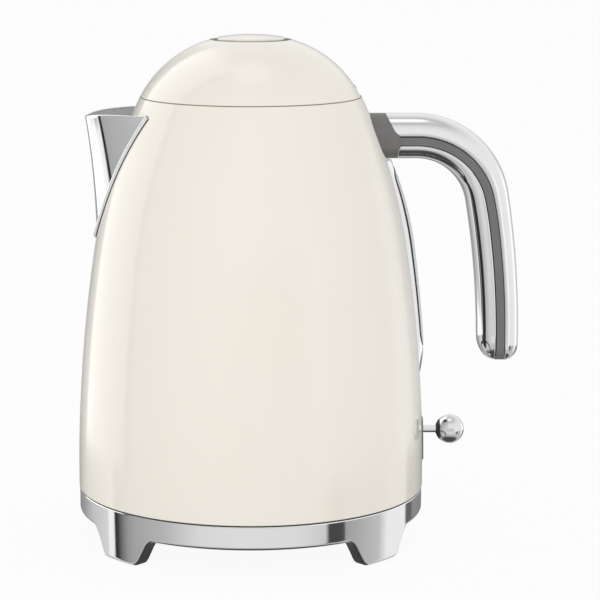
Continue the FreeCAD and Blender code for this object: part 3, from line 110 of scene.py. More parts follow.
def per_metre(size_mm: float) -> float:
    """Gives a texture scale for a pattern of a real size in millimetres."""
    return 1 / (size_mm * MM)


def add_node(tree: bpy.types.NodeTree, kind: str, settings: dict[str, Any] | None = None,
             inputs: dict[Any, Any] | None = None) -> bpy.types.Node:
    """Adds one node with its settings, values and links.

    Args:
        tree: the node tree that gets the node.
        kind: Blender's type name of the node.
        settings: properties of the node.
        inputs: a value or an output socket for each named or numbered input.

    Returns:
        The new node.
    """
    node = tree.nodes.new(kind)
    for name, value in (settings or {}).items():
        setattr(node, name, value)
    for name, value in (inputs or {}).items():
        socket = node.inputs[name]
        if isinstance(value, bpy.types.NodeSocket):
            tree.links.new(value, socket)
        else:
            socket.default_value = value
    return node


class Grain(Enum):
    """The way in which a surface's fine relief is laid."""

    EVEN = (1.0, 1.0, 1.0)
    BRUSHED = (1.0, 14.0, 1.0)


@dataclass(frozen=True)
class Finish:
    """One real material and the way in which its surface was made."""

    name: str
    tint: str
    shade: str
    mottle_mm: float
    roughness: Pair
    haze_mm: float
    relief_mm: float
    relief_depth_mm: float
    metallic: float = 0.0
    grain: Grain = Grain.EVEN
    coat: float = 0.0
    coat_roughness: float = 0.03
    transmission: float = 0.0
    ior: float = 1.5

    def build(self) -> bpy.types.Material:
        """Makes the node material of the finish.

        Returns:
            The new material.
        """
        material = bpy.data.materials.new(self.name)
        material.use_nodes = True
        tree = material.node_tree
        shader = tree.nodes["Principled BSDF"]
        place = add_node(tree, "ShaderNodeTexCoord").outputs["Object"]
        laid = add_node(tree, "ShaderNodeVectorMath", {"operation": "MULTIPLY"},
                        {0: place, 1: self.grain.value}).outputs[0]
        mottle = add_node(tree, "ShaderNodeTexNoise", None,
                          {"Vector": laid, "Scale": per_metre(self.mottle_mm), "Detail": 3.0})
        colour = add_node(tree, "ShaderNodeMix", {"data_type": "RGBA"},
                          {0: mottle.outputs["Fac"], 6: linear(self.tint), 7: linear(self.shade)})
        haze = add_node(tree, "ShaderNodeTexNoise", None,
                        {"Vector": laid, "Scale": per_metre(self.haze_mm), "Detail": 4.0})
        gloss = add_node(tree, "ShaderNodeMapRange", None,
                         {"Value": haze.outputs["Fac"], "From Min": 0.3, "From Max": 0.7,
                          "To Min": self.roughness[0], "To Max": self.roughness[1]})
        relief = add_node(tree, "ShaderNodeTexNoise", None,
                          {"Vector": laid, "Scale": per_metre(self.relief_mm), "Detail": 2.0})
        bump = add_node(tree, "ShaderNodeBump", None,
                        {"Height": relief.outputs["Fac"], "Distance": self.relief_depth_mm * MM,
                         "Strength": 1.0})
        tree.links.new(colour.outputs[2], shader.inputs["Base Color"])
        tree.links.new(gloss.outputs["Result"], shader.inputs["Roughness"])
        tree.links.new(bump.outputs["Normal"], shader.inputs["Normal"])
        for socket, value in (("Metallic", self.metallic), ("Coat Weight", self.coat),
                              ("Coat Roughness", self.coat_roughness), ("IOR", self.ior),
                              ("Transmission Weight", self.transmission)):
            shader.inputs[socket].default_value = value
        return material


@dataclass(frozen=True)
class LinedFinish(Finish):
    """A finish on the outside of a round wall, whose inside is bare metal."""

    inside: str = "#BDBDBB"
    inside_roughness: float = 0.34
    inside_metallic: float = 0.45
    facing_in: float = -0.2     # how far a face looks inwards before it counts as inside

    def build(self) -> bpy.types.Material:
        """Makes the node material, which tells the inside by the way that it faces.

        Returns:
            The new material.
        """
        material = super().build()
        tree = material.node_tree
        shader = tree.nodes["Principled BSDF"]
        place = add_node(tree, "ShaderNodeTexCoord")
        out = add_node(tree, "ShaderNodeVectorMath", {"operation": "MULTIPLY_ADD"},
                       {0: place.outputs["Object"], 1: (1, 1, 0), 2: (-AXIS_X, 0, 0)})
        way = add_node(tree, "ShaderNodeVectorMath", {"operation": "NORMALIZE"}, {0: out.outputs[0]})
        facing = add_node(tree, "ShaderNodeVectorMath", {"operation": "DOT_PRODUCT"},
                          {0: way.outputs[0], 1: place.outputs["Normal"]})
        bare = add_node(tree, "ShaderNodeMath", {"operation": "LESS_THAN"},
                        {0: facing.outputs["Value"], 1: self.facing_in}).outputs[0]
        enamel, haze = (shader.inputs[name].links[0].from_socket for name in ("Base Color", "Roughness"))
        colour = add_node(tree, "ShaderNodeMix", {"data_type": "RGBA"}, {0: bare, 6: enamel, 7: linear(self.inside)})
        gloss = add_node(tree, "ShaderNodeMix", None, {0: bare, 2: haze, 3: self.inside_roughness})
        tree.links.new(colour.outputs[2], shader.inputs["Base Color"])
        tree.links.new(gloss.outputs[0], shader.inputs["Roughness"])
        metal = add_node(tree, "ShaderNodeMath", {"operation": "MULTIPLY"}, {0: bare, 1: self.inside_metallic})
        tree.links.new(metal.outputs[0], shader.inputs["Metallic"])
        return material


# Vitreous cream enamel on pressed steel, sprayed and fired: a deep even gloss over faint orange peel.
ENAMEL = Finish("cream_enamel_fired", "#EFEADF", "#EDE8DC", 60.0, (0.16, 0.22), 25.0, 5.0, 0.004,
                coat=0.6, coat_roughness=0.04)
# The same enamel on the jug, whose inside is bare stainless steel, spun and satin.
JUG_ENAMEL = LinedFinish(**{**vars(ENAMEL), "name": "cream_enamel_on_steel"})
# Bright chrome plate over polished zinc casting: a mirror with a trace of polishing haze.
CHROME = Finish("chrome_plate_polished", "#EBEBEC", "#E5E5E6", 30.0, (0.035, 0.075), 9.0, 6.0, 0.001,
                metallic=1.0)
# Chrome plate over an unpolished casting: silky, with a soft blurred mirror.
SATIN_CHROME = Finish("chrome_plate_satin", "#C4C5C8", "#BABBBE", 12.0, (0.36, 0.48), 5.0, 1.0, 0.004,
                      metallic=0.6)
# Grey ABS, moulded in a spark-eroded tool: satin, with a fine even grain drawn coarse enough to show.
GREY_ABS = Finish("grey_abs_moulded", "#71706F", "#6A6968", 18.0, (0.38, 0.5), 4.0, 0.9, 0.02)
# Black glass-filled nylon, moulded: dull, with a fine grain drawn coarse enough to show.
BLACK_NYLON = Finish("black_nylon_moulded", "#2B2B2D", "#242426", 12.0, (0.5, 0.65), 5.0, 1.1, 0.03)
# Natural polypropylene, moulded: waxy white with soft gloss.
WHITE_PP = Finish("white_polypropylene_moulded", "#E9E8E2", "#E2E1DA", 20.0, (0.32, 0.45), 6.0, 1.4, 0.015)
# Black rubber, moulded: dull, with a dusty bloom.
RUBBER = Finish("black_rubber_moulded", "#1C1C1D", "#262626", 6.0, (0.7, 0.85), 3.0, 0.8, 0.03)
# Chrome plate on a rolled bead, softly buffed: bright and silky.
BUFFED_CHROME = Finish("chrome_plate_buffed", "#F3F3F4", "#EDEDEF", 8.0, (0.24, 0.34), 5.0, 2.0, 0.002,
                       metallic=0.55)
# Chrome plate on the turned ball, dulled by handling: its mirror is a little soft.
BALL_CHROME = Finish("chrome_plate_handled", "#E8E8E9", "#E0E0E1", 8.0, (0.13, 0.19), 4.0, 3.0, 0.001,
                     metallic=1.0)
# Zinc casting, dark and dull: painted shade and painted dark reflection on the ring's faces that look away from its
# outside.
PAINTED_SHADE_ZINC = Finish("zinc_casting_painted_shade", "#454547", "#39393B", 4.0, (0.4, 0.55), 3.0, 0.9, 0.02, metallic=0.7)
# A plain black line with little shine, laid along the grip's inner half as a painted reflection.
BLACK_PAINTED_REFLECTION = Finish("black_painted_reflection", "#0C0C0D", "#0A0A0B", 6.0, (0.4, 0.5), 4.0, 1.5, 0.002)
# Cream enamel on the rolled edge, duller and darker than on the open faces: painted shade in the gap between the lid
# and the jug.
PAINTED_SHADE_ENAMEL = Finish("cream_enamel_painted_shade", "#A39C8E", "#968F81", 10.0, (0.3, 0.4), 6.0, 2.0, 0.004)
# Milky acrylic, moulded: pale and half see-through, with a hard gloss.
MILKY_ACRYLIC = Finish("milky_acrylic_moulded", "#E9EBEB", "#E3E5E5", 20.0, (0.03, 0.07), 12.0, 8.0, 0.001,
                       transmission=0.1, ior=1.49)
# Clear silicone rubber, moulded: milky and soft.
SILICONE = Finish("milky_silicone_moulded", "#D9DAD6", "#CFD0CB", 8.0, (0.35, 0.5), 4.0, 1.2, 0.01,
                  transmission=0.35, ior=1.41)
# Clear acrylic, moulded: nearly invisible but for its gloss.
ACRYLIC = Finish("clear_acrylic_moulded", "#F4F7F7", "#EEF2F2", 20.0, (0.02, 0.06), 12.0, 8.0, 0.001,
                 transmission=0.95, ior=1.49)
# Stainless steel sheet, brushed one way: streaks along the brushing.
STEEL = Finish("stainless_steel_brushed", "#C3C3C1", "#ABABAA", 3.0, (0.22, 0.38), 1.5, 0.8, 0.006,
               metallic=1.0, grain=Grain.BRUSHED)
# Cast aluminium plate, as cast: pale and sandy.
ALUMINIUM = Finish("aluminium_cast", "#C9CACB", "#B4B5B6", 4.0, (0.45, 0.6), 3.0, 1.0, 0.03, metallic=1.0)
# Brass contact strip, stamped and left bare: yellow with dull tarnish patches.
BRASS = Finish("brass_stamped", "#C9A75A", "#9C7F3F", 3.0, (0.22, 0.42), 2.0, 0.8, 0.006, metallic=1.0)

SLOT_FINISHES: dict[str, Finish] = {
    "cream_enamel": ENAMEL,
    "chrome_plate": CHROME,
    "grey_plastic": GREY_ABS,
    "dark_plastic": BLACK_NYLON,
    "white_plastic": WHITE_PP,
    "black_rubber": RUBBER,
    "clear_silicone": SILICONE,
    "clear_plastic": ACRYLIC,
    "plain_steel": STEEL,
    "cast_aluminium": ALUMINIUM,
    "contact_brass": BRASS,
}


class Paintshop:
    """Makes the pieces, makes each finish once and hands it to them."""

    def __init__(self) -> None:
        """Starts with no finish made."""
        self.made: dict[str, bpy.types.Material] = {}

    def mixed(self, finish: Finish) -> bpy.types.Material:
        """Gives the material of a finish, made at its first use.

        Args:
            finish: the finish that is asked for.

        Returns:
            Its material.
        """
        if finish.name not in self.made:
            self.made[finish.name] = finish.build()
        return self.made[finish.name]

    def coat(self, piece: bpy.types.Object, finish: Finish) -> None:
        """Gives a piece one finish all over.

        Args:
            piece: the node or piece to dress.
            finish: the finish that it gets.
        """
        if not piece.material_slots:
            piece.data.materials.append(self.mixed(finish))
        for slot in piece.material_slots:
            slot.material = self.mixed(finish)

    def coat_faces(self, piece: bpy.types.Object, finish: Finish, chosen: FaceTest) -> None:
        """Gives some faces of a new piece another finish.

        Args:
            piece: the piece, already coated all over.
            finish: the other finish.
            chosen: tells whether a face gets it.
        """
        piece.data.materials.append(self.mixed(finish))
        for face in piece.data.polygons:
            x, y, z = face.center
            if chosen(((x - AXIS_X) / MM, y / MM, z / MM), tuple(face.normal)):
                face.material_index = len(piece.data.materials) - 1

    def dress_nodes(self, frame: dict[str, Any]) -> None:
        """Gives each CAD node the finish of its material slot.

        Args:
            frame: the loaded frame.
        """
        for entry in frame["record"]["subparts"]:
            self.coat(frame["nodes"][entry["node"]], SLOT_FINISHES[entry["material_slot"]])
            LOG.info("%s dressed as %s", entry["node"], entry["material_slot"])

    def make(self, name: str, shell: Shell, body: str, finish: Finish, nodes: Sequence[str] = (),
             crease: float = CREASE) -> bpy.types.Object:
        """Makes a smooth mesh piece in one finish, which may stand for CAD nodes.

        Args:
            name: the piece's name.
            shell: its points and faces.
            body: the CAD body that it moves with.
            finish: the finish that it gets.
            nodes: the CAD nodes that it replaces.
            crease: the angle in degrees above which an edge stays sharp.

        Returns:
            The new piece.
        """
        points, faces = shell
        mesh = bpy.data.meshes.new(name)
        mesh.from_pydata([(x * MM + AXIS_X, y * MM, z * MM) for x, y, z in points], [], faces)
        form = bmesh.new()
        form.from_mesh(mesh)
        bmesh.ops.remove_doubles(form, verts=form.verts, dist=WELD * MM)
        bmesh.ops.recalc_face_normals(form, faces=form.faces)
        form.to_mesh(mesh)
        form.free()
        mesh.shade_smooth()
        mesh.set_sharp_from_angle(angle=math.radians(crease))
        piece = bpy.data.objects.new(name, mesh)
        bpy.context.collection.objects.link(piece)
        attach(piece, body)
        if nodes:
            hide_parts(*nodes)
        self.coat(piece, finish)
        LOG.info("%s made of %d faces", name, len(mesh.polygons))
        return piece


class SubAssembly(ABC):
    """Pieces of the kettle that are made and dressed together."""

    @abstractmethod
    def build(self, shop: Paintshop) -> None:
        """Makes the pieces and dresses them.

        Args:
            shop: makes the pieces and holds the finishes.
        """


def skin(rows: Sequence[Sequence[Point]], loop: bool = False, ring: bool = False,
         caps: bool = False) -> Shell:
    """Lays faces between rows of points.

    Args:
        rows: rows of points, all of one length.
        loop: whether each row closes on itself.
        ring: whether the last row joins the first.
        caps: whether the first and last rows are filled in.

    Returns:
        The points and the faces.
    """
    width = len(rows[0])
    points = [point for row in rows for point in row]
    faces: list[list[int]] = []
    for row in range(len(rows) if ring else len(rows) - 1):
        after = (row + 1) % len(rows)
        for column in range(width if loop else width - 1):
            beside = (column + 1) % width
            faces.append([row * width + column, row * width + beside,
                          after * width + beside, after * width + column])
    if caps:
        faces.append(list(range(width)))
        faces.append(list(range((len(rows) - 1) * width, len(rows) * width)))
    if ring and not loop:
        faces.append([row * width for row in range(len(rows))])
        faces.append([row * width + width - 1 for row in range(len(rows))])
    return points, faces


def merged(*shells: Shell) -> Shell:
    """Puts several shells into one list of points and faces.

    Args:
        shells: the shells, each with its own numbering.

    Returns:
        All their points and faces, numbered through.
    """
    points: list[Point] = []
    faces: list[list[int]] = []
    for more_points, more_faces in shells:
        start = len(points)
        points += more_points
        faces += [[corner + start for corner in face] for face in more_faces]
    return points, faces


def arc(centre: Pair, radius: float, first: float, last: float, steps: int) -> list[Pair]:
    """Gives points on an arc, its angles in degrees, both ends among them."""
    angles = [math.radians(first + (last - first) * step / steps) for step in range(steps + 1)]
    return [(centre[0] + radius * math.cos(a), centre[1] + radius * math.sin(a)) for a in angles]


def spread(first: float, last: float, count: int) -> list[float]:
    """Gives evenly spaced values, both ends among them."""
    return [first + (last - first) * index / (count - 1) for index in range(count)]


def circle(steps: int) -> list[Pair]:
    """Gives evenly spaced directions round a circle."""
    return [(math.cos(2 * math.pi * step / steps), math.sin(2 * math.pi * step / steps)) for step in range(steps)]


def unit(way: Sequence[float]) -> list[float]:
    """Gives a direction its length of 1."""
    size = math.sqrt(sum(part * part for part in way))
    return [part / size for part in way]


@dataclass
class JugProfile:
    """The jug's outside: a long barrel arc below and a shoulder arc above, in millimetres."""

    radius: float = 86.1
    bulge: float = 33.0
    barrel: float = 731.0
    shoulder: float = 260.0
    change: float = 149.0

    def at(self, height: float) -> float:
        """Gives the outside radius at a height.

        Args:
            height: the height above the table.

        Returns:
            The radius there.
        """
        if height <= self.change:
            return self.radius - self.barrel + math.sqrt(self.barrel ** 2 - (height - self.bulge) ** 2)
        rise = (self.change - self.bulge) / self.barrel
        centre_r = self.radius - self.barrel + (self.barrel - self.shoulder) * math.sqrt(1 - rise ** 2)
        centre_z = self.bulge + (self.barrel - self.shoulder) * rise
        return centre_r + math.sqrt(self.shoulder ** 2 - (height - centre_z) ** 2)


@dataclass
class BaseRing(SubAssembly):
    """The chrome ring of the power base, with its four arches and feet, in millimetres."""

    radius: float = 85.8
    foot_set_back: float = 0.3
    top: float = 25.9
    top_round: float = 0.8
    edge: float = 13.9
    foot: float = 0.4
    foot_round: float = 1.9
    hold: float = 0.12          # keeps the flat of the band straight up to its rounded edges
    wall: float = 2.4
    shelf: float = 15.4
    inner: float = 77.8
    front_low: float = 40.3     # degrees from the middle of an arch to the foot, at the foot's sole
    front_top: float = 35.0
    side_low: float = 33.4
    side_top: float = 29.0
    front_ease: float = 4.6
    side_ease: float = 11.0
    sole_ease: float = 3.6
    pad_reach: float = 80.4
    pad_radius: float = 2.4
    pad_turns: tuple[float, ...] = (48, 132, 228, 312)
    painted_shade_level: float = 16.0     # below this height a face gets painted shade when it looks outwards by less than the low threshold
    low_shade_facing: float = 0.35
    high_shade_facing: float = 0.8
    steps: int = 1440

    def sole(self, turn: float) -> float:
        """Gives the height of the lower edge.

        Args:
            turn: degrees round the ring from the front.

        Returns:
            The height there.
        """
        around = abs((turn + 180) % 360 - 180)
        around = min(around, 180 - around)
        rise = self.edge - self.foot
        front = rise * (self.front_low - around) / (self.front_low - self.front_top)
        side = rise * (self.side_low - 90 + around) / (self.side_low - self.side_top)
        return self.foot + max(self.eased(front, self.front_ease), self.eased(side, self.side_ease))

    def eased(self, height: float, ease: float) -> float:
        """Rounds a straight flank into the sole below and the arch above.

        Args:
            height: the flank's height above the sole.
            ease: how far below the arch the rounding starts.

        Returns:
            The rounded height.
        """
        rise = self.edge - self.foot
        near = max(self.sole_ease - abs(height), 0.0) / self.sole_ease
        height = max(height, 0.0) + near ** 2 * self.sole_ease / 4
        near = max(ease - abs(rise - height), 0.0) / ease
        return min(height, rise) - near ** 2 * ease / 4

    def section(self, turn: float) -> list[Pair]:
        """Gives one upright cut through the ring as (radius, height) points.

        Args:
            turn: degrees round the ring from the front.

        Returns:
            The points, from the inside of the wall over the top and round.
        """
        low = self.sole(turn)
        set_back = self.foot_set_back * (self.edge - low) / (self.edge - self.foot)
        outer = self.radius - set_back
        rounding = self.foot_round
        points = [(self.radius - self.wall, self.top)]
        points += arc((self.radius - self.top_round, self.top - self.top_round), self.top_round, 90, 0, 6)
        points += [(self.radius, self.top - self.top_round - self.hold), (self.radius, self.edge + rounding + 1.0),
                   (outer, low + rounding + 0.4), (outer, low + rounding + self.hold)]
        points += arc((outer - rounding, low + rounding), rounding, 0, -90, 8)
        points += [(self.inner, low), (self.inner, self.shelf), (self.radius - self.wall, self.shelf)]
        return points

    def build(self, shop: Paintshop) -> None:
        """Makes the ring and plates it.

        Args:
            shop: makes the pieces and holds the finishes.
        """
        rows = []
        for step in range(self.steps):
            turn = 360 * step / self.steps
            way = (math.sin(math.radians(turn)), -math.cos(math.radians(turn)))
            rows.append([(r * way[0], r * way[1], z) for r, z in self.section(turn)])
        piece = shop.make("base_ring_plated", skin(rows, loop=True, ring=True), "power_base",
                          CHROME, ["base_ring"])
        # The faces that look away from the ring's outside get the dark finish as painted shade.
        shop.coat_faces(piece, PAINTED_SHADE_ZINC, self.is_painted_shade_face)
        shop.make("foot_pads_moulded", merged(*(self.pad(turn) for turn in self.pad_turns)), "power_base",
                  RUBBER, ["foot_pads"])

    def is_painted_shade_face(self, middle: Point, facing: Point) -> bool:
        """Tells whether a face gets painted shade: under the ring, on the cut of an arch or foot, or in the joint
        above.

        Args:
            middle: the face's middle, in millimetres.
            facing: the way that it looks.

        Returns:
            True for a face that looks away from the ring's outside.
        """
        level = math.hypot(middle[0], middle[1])
        outward = (facing[0] * middle[0] + facing[1] * middle[1]) / level
        return outward < (self.low_shade_facing if middle[2] < self.painted_shade_level else self.high_shade_facing)

    def pad(self, turn: float) -> Shell:
        """Makes one rounded rubber pad under a foot.

        Args:
            turn: degrees round the ring from the front.

        Returns:
            The points and the faces.
        """
        x, y = self.pad_reach * math.sin(math.radians(turn)), -self.pad_reach * math.cos(math.radians(turn))
        profile = [(self.pad_radius, self.foot + 0.6), (self.pad_radius, 0.3), (self.pad_radius - 0.1, 0.1),
                   (self.pad_radius - 0.3, 0.0)]
        rows = [[(x + r * cos, y + r * sin, z) for cos, sin in circle(32)] for r, z in profile]
        return skin(rows, loop=True, caps=True)


@dataclass
class Spout(SubAssembly):
    """The beak of the spout, its flange on the jug and its rolled lip, in millimetres."""

    jug: JugProfile
    heights: tuple[float, ...] = (214.0, 190.0, 165.0, 140.0)
    reaches: tuple[float, ...] = (82.0, 78.6, 76.7, 76.0)
    blunts: tuple[float, ...] = (27.0, 32.0, 43.0, 75.0)
    back: float = 30.0
    rim: float = 210.8
    lip_rise: float = 2.6       # how far the rim rises behind the tip
    lip_run: float = 6.0
    wall: float = 1.4
    flange_width: float = 2.7
    flange_height: float = 2.0
    gasket_width: float = 3.4
    gasket_height: float = 1.0
    flange_out: float = -2.0    # where each band begins, from the line where the wall meets the jug
    gasket_out: float = -2.55
    band_sunk: float = 0.5
    band_power: float = 0.7     # how square a band's section is: 1 is round
    root_sunk: float = 1.0      # how far the wall's root lies below the jug's surface
    lip_round: float = 0.5
    leave: float = 0.02         # how far above its lowest point the wall starts
    channel_back: float = 12.0  # how far behind the nose the channel's faces look to
    rows: int = 56
    columns: int = 73

    def drawn(self, values: Sequence[float], height: float) -> float:
        """Carries four values at the four heights smoothly to any height.

        Args:
            values: the value at each of the four heights.
            height: the height above the table.

        Returns:
            The value there.
        """
        total = 0.0
        for index, value in enumerate(values):
            share = value
            for other, level in enumerate(self.heights):
                if other != index:
                    share *= (height - level) / (self.heights[index] - level)
            total += share
        return total

    def nose(self, height: float, inset: float) -> Pair:
        """Gives the reach and the bluntness at a height, with the wall drawn in by an inset.

        Args:
            height: the height above the table.
            inset: how far the wall is drawn in.

        Returns:
            The reach and the bluntness.
        """
        halves = [math.sqrt(b * (r - self.back)) for b, r in zip(self.blunts, self.reaches)]
        reach = self.drawn(self.reaches, height) - inset
        half = self.drawn(halves, height) - inset
        return reach, half ** 2 / (reach - self.back)

    def joint(self, height: float, inset: float, sunk: float) -> float:
        """Gives the half width at which the wall meets the jug, sunk below its surface.

        Args:
            height: the height above the table.
            inset: how far the wall is drawn in.
            sunk: how far it lies below the jug's surface.

        Returns:
            The half width, or 0 below the nose.
        """
        reach, blunt = self.nose(height, inset)
        radius = self.jug.at(height) - sunk
        if reach <= radius:
            return 0.0
        # Where x = y * y / blunt - reach crosses the jug's circle
        lead = 1 - 2 * reach / blunt
        root = math.sqrt(lead ** 2 - 4 * (reach ** 2 - radius ** 2) / blunt ** 2)
        near, far = ((-lead + sign * root) * blunt ** 2 / 2 for sign in (-1, 1))
        return math.sqrt(near if near > 0 else far)

    def lowest(self, inset: float, sunk: float) -> float:
        """Finds the height at which the nose leaves the jug.

        Args:
            inset: how far the wall is drawn in.
            sunk: how far it lies below the jug's surface.

        Returns:
            The height.
        """
        low, high = self.heights[3], self.heights[0]
        for _ in range(40):
            middle = (low + high) / 2
            if self.nose(middle, inset)[0] > self.jug.at(middle) - sunk:
                high = middle
            else:
                low = middle
        return high

    def rim_at(self, x: float) -> float:
        """Gives the height of the rim, which dips to its tip."""
        return self.rim + self.lip_rise * (1 - math.exp(-max(x + self.reaches[0], 0.0) / self.lip_run))

    def wall_rows(self, inset: float, sunk: float, drop: float) -> list[list[Point]]:
        """Gives the rows of points of one face of the wall, from its root to its rim.

        Args:
            inset: how far the wall is drawn in.
            sunk: how far it lies below the jug's surface.
            drop: how far below the rim the last row ends.

        Returns:
            The rows of points.
        """
        start = self.lowest(inset, sunk) + self.leave
        rows = []
        for share in spread(0, 1, self.rows):
            row = []
            for across in spread(-1, 1, self.columns):
                z = start
                top = self.rim
                for _ in range(4):
                    z = start + (top - drop - start) * share
                    reach, blunt = self.nose(z, inset)
                    y = across * self.joint(z, inset, sunk)
                    x = y * y / blunt - reach
                    top = self.rim_at(x)
                row.append((x, y, z))
            rows.append(row)
        return rows

    def shell(self) -> Shell:
        """Joins the outer face, the rolled lip and the inner face of the wall.

        Returns:
            The points and the faces.
        """
        outer, inner = (self.wall_rows(inset, self.root_sunk, self.lip_round) for inset in (0.0, self.wall))
        lip = []
        for turn in spread(0, 180, 7)[1:-1]:
            angle = math.radians(turn)
            share, lift = (1 - math.cos(angle)) / 2, self.lip_round * math.sin(angle)
            between = ([p + (q - p) * share for p, q in zip(a, b)] for a, b in zip(outer[-1], inner[-1]))
            lip.append([(x, y, z + lift) for x, y, z in between])
        return skin(outer + lip + inner[::-1], ring=True)

    def flange(self, out: float, width: float, height: float) -> Shell:
        """Lays a half-round band on the jug, along the line where the wall meets it.

        Args:
            out: how far the band's inner side is from that line.
            width: the band's width.
            height: how far it stands off the jug.

        Returns:
            The points and the faces.
        """
        start = self.lowest(0.0, 0.0) + self.leave
        line: list[Point] = []
        peak = self.rim + self.lip_rise
        levels = [start + (peak - start) * share ** 2 for share in spread(0, 1, 60)]
        for side in (-1, 1):
            for z in (levels[::-1] if side == -1 else levels[1:]):
                y = side * self.joint(z, 0.0, 0.0)
                x = -math.sqrt(max(self.jug.at(z) ** 2 - y ** 2, 0))
                line.append((x, y, min(z, self.rim_at(x))))
        rows = []
        for index, (x, y, z) in enumerate(line):
            before, after = line[max(index - 1, 0)], line[min(index + 1, len(line) - 1)]
            along = [b - a for a, b in zip(before, after)]
            slope = self.jug.at(z + 0.5) - self.jug.at(z - 0.5)
            level = math.hypot(x, y)
            normal = unit((x / level, y / level, -slope))
            side = unit((along[1] * normal[2] - along[2] * normal[1], along[2] * normal[0] - along[0] * normal[2],
                         along[0] * normal[1] - along[1] * normal[0]))
            row = []
            for step in spread(0, 180, 13):
                angle = math.radians(step)
                lie = out + width / 2 * (1 - math.cos(angle))
                rise = height * math.sin(angle) ** self.band_power - self.band_sunk
                row.append(tuple(p + side[k] * lie + normal[k] * rise for k, p in enumerate((x, y, z))))
            rows.append(row)
        return skin(rows, loop=True, caps=True)

    def build(self, shop: Paintshop) -> None:
        """Makes the spout and plates it, satin inside.

        Args:
            shop: makes the pieces and holds the finishes.
        """
        shop.make("spout_gasket_edge", self.flange(self.gasket_out, self.gasket_width, self.gasket_height), "kettle",
                  RUBBER, ["spout_gasket"])
        piece = shop.make("spout_plated", self.shell(), "kettle", CHROME, ["spout"])
        shop.coat_faces(piece, SATIN_CHROME, self.in_channel)
        shop.make("spout_flange_plated", self.flange(self.flange_out, self.flange_width, self.flange_height),
                  "kettle", BUFFED_CHROME)

    def in_channel(self, middle: Point, facing: Point) -> bool:
        """Tells whether a face of the wall looks into the channel.

        Args:
            middle: the face's middle, in millimetres.
            facing: the way that it looks.

        Returns:
            True for a face inside.
        """
        away = (middle[0] + self.reaches[3] - self.channel_back, middle[1])
        return facing[0] * away[0] + facing[1] * away[1] < -0.3 * math.hypot(*away) and facing[2] < 0.5


@dataclass
class LidSeam(SubAssembly):
    """The rolled edge inside the gap between the lid and the jug, in millimetres."""

    radius: float = 53.8
    height: float = 220.72
    roll: float = 0.34
    hinge_gap: float = 17.0     # degrees
    button_radius: float = 17.75
    button_height: float = 247.95
    button_roll: float = 0.45
    steps: int = 240

    def ring(self, radius: float, height: float, roll: float, gap: float) -> Shell:
        """Makes a round-edged ring about the jug's axis.

        Args:
            radius: the ring's radius.
            height: its height.
            roll: half its thickness.
            gap: degrees left open on each side of the hinge.

        Returns:
            The points and the faces.
        """
        rows = []
        for step in range(self.steps):
            turn = math.radians(gap + (360 - 2 * gap) * step / (self.steps - (1 if gap else 0)))
            rows.append([(r * math.cos(turn), r * math.sin(turn), z)
                         for r, z in arc((radius, height), roll, 0, 330, 11)])
        return skin(rows, loop=True, ring=not gap, caps=bool(gap))

    def build(self, shop: Paintshop) -> None:
        """Makes the lid's rolled edge and the raised edge of the button's ring, and dresses them.

        Args:
            shop: makes the pieces and holds the finishes.
        """
        # The lid's rolled edge is darker as painted shade in the gap under the lid.
        for name, slot, finish, sizes in (
                ("lid_rolled_edge", "cream_enamel", PAINTED_SHADE_ENAMEL,
                 (self.radius, self.height, self.roll, self.hinge_gap)),
                ("button_ring_edge", "grey_plastic", GREY_ABS,
                 (self.button_radius, self.button_height, self.button_roll, 0.0))):
            shop.make(name, self.ring(*sizes), "lid", finish, crease=ROUND_CREASE)


@dataclass
class Spring(SubAssembly):
    """A coil spring in the lid, wound inside its CAD sleeve, in millimetres."""

    node: str
    joint: str
    along: int                  # the axis that it lies along: 0 for x, 2 for z
    anchor_high: bool           # whether its far end along that axis stays
    turns: float
    wire: float
    travel: float = 3.0
    spare: float = 0.1          # how much further than its travel it can shorten
    per_turn: int = 28

    def build(self, shop: Paintshop) -> None:
        """Winds the coil inside the CAD sleeve's box and dresses it.

        Args:
            shop: makes the pieces and holds the finishes.
        """
        low, high = ([value / MM for value in corner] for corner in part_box(self.node))
        across = [axis for axis in (0, 1, 2) if axis != self.along]
        middle = [(a + b) / 2 for a, b in zip(low, high)]
        radius = (high[1] - low[1]) / 2 - self.wire
        length = high[self.along] - low[self.along]
        rows = []
        for share in spread(0, 1, int(self.turns * self.per_turn) + 1):
            turn = 2 * math.pi * self.turns * share
            row = []
            for out, rise in arc((radius, 0.0), self.wire, 0, 320, 8):
                point = [0.0, 0.0, 0.0]
                point[self.along] = low[self.along] + self.wire + (length - 2 * self.wire) * share + rise
                point[across[0]] = middle[across[0]] + out * math.cos(turn)
                point[across[1]] = middle[across[1]] + out * math.sin(turn)
                row.append((point[0] - AXIS_X / MM, point[1], point[2]))
            rows.append(row)
        piece = shop.make(self.node + "_coil", skin(rows, loop=True, caps=True), "lid", STEEL,
                          [self.node], ROUND_CREASE)
        fixed = [value * MM for value in middle]
        fixed[self.along] = (high if self.anchor_high else low)[self.along] * MM
        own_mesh(piece)


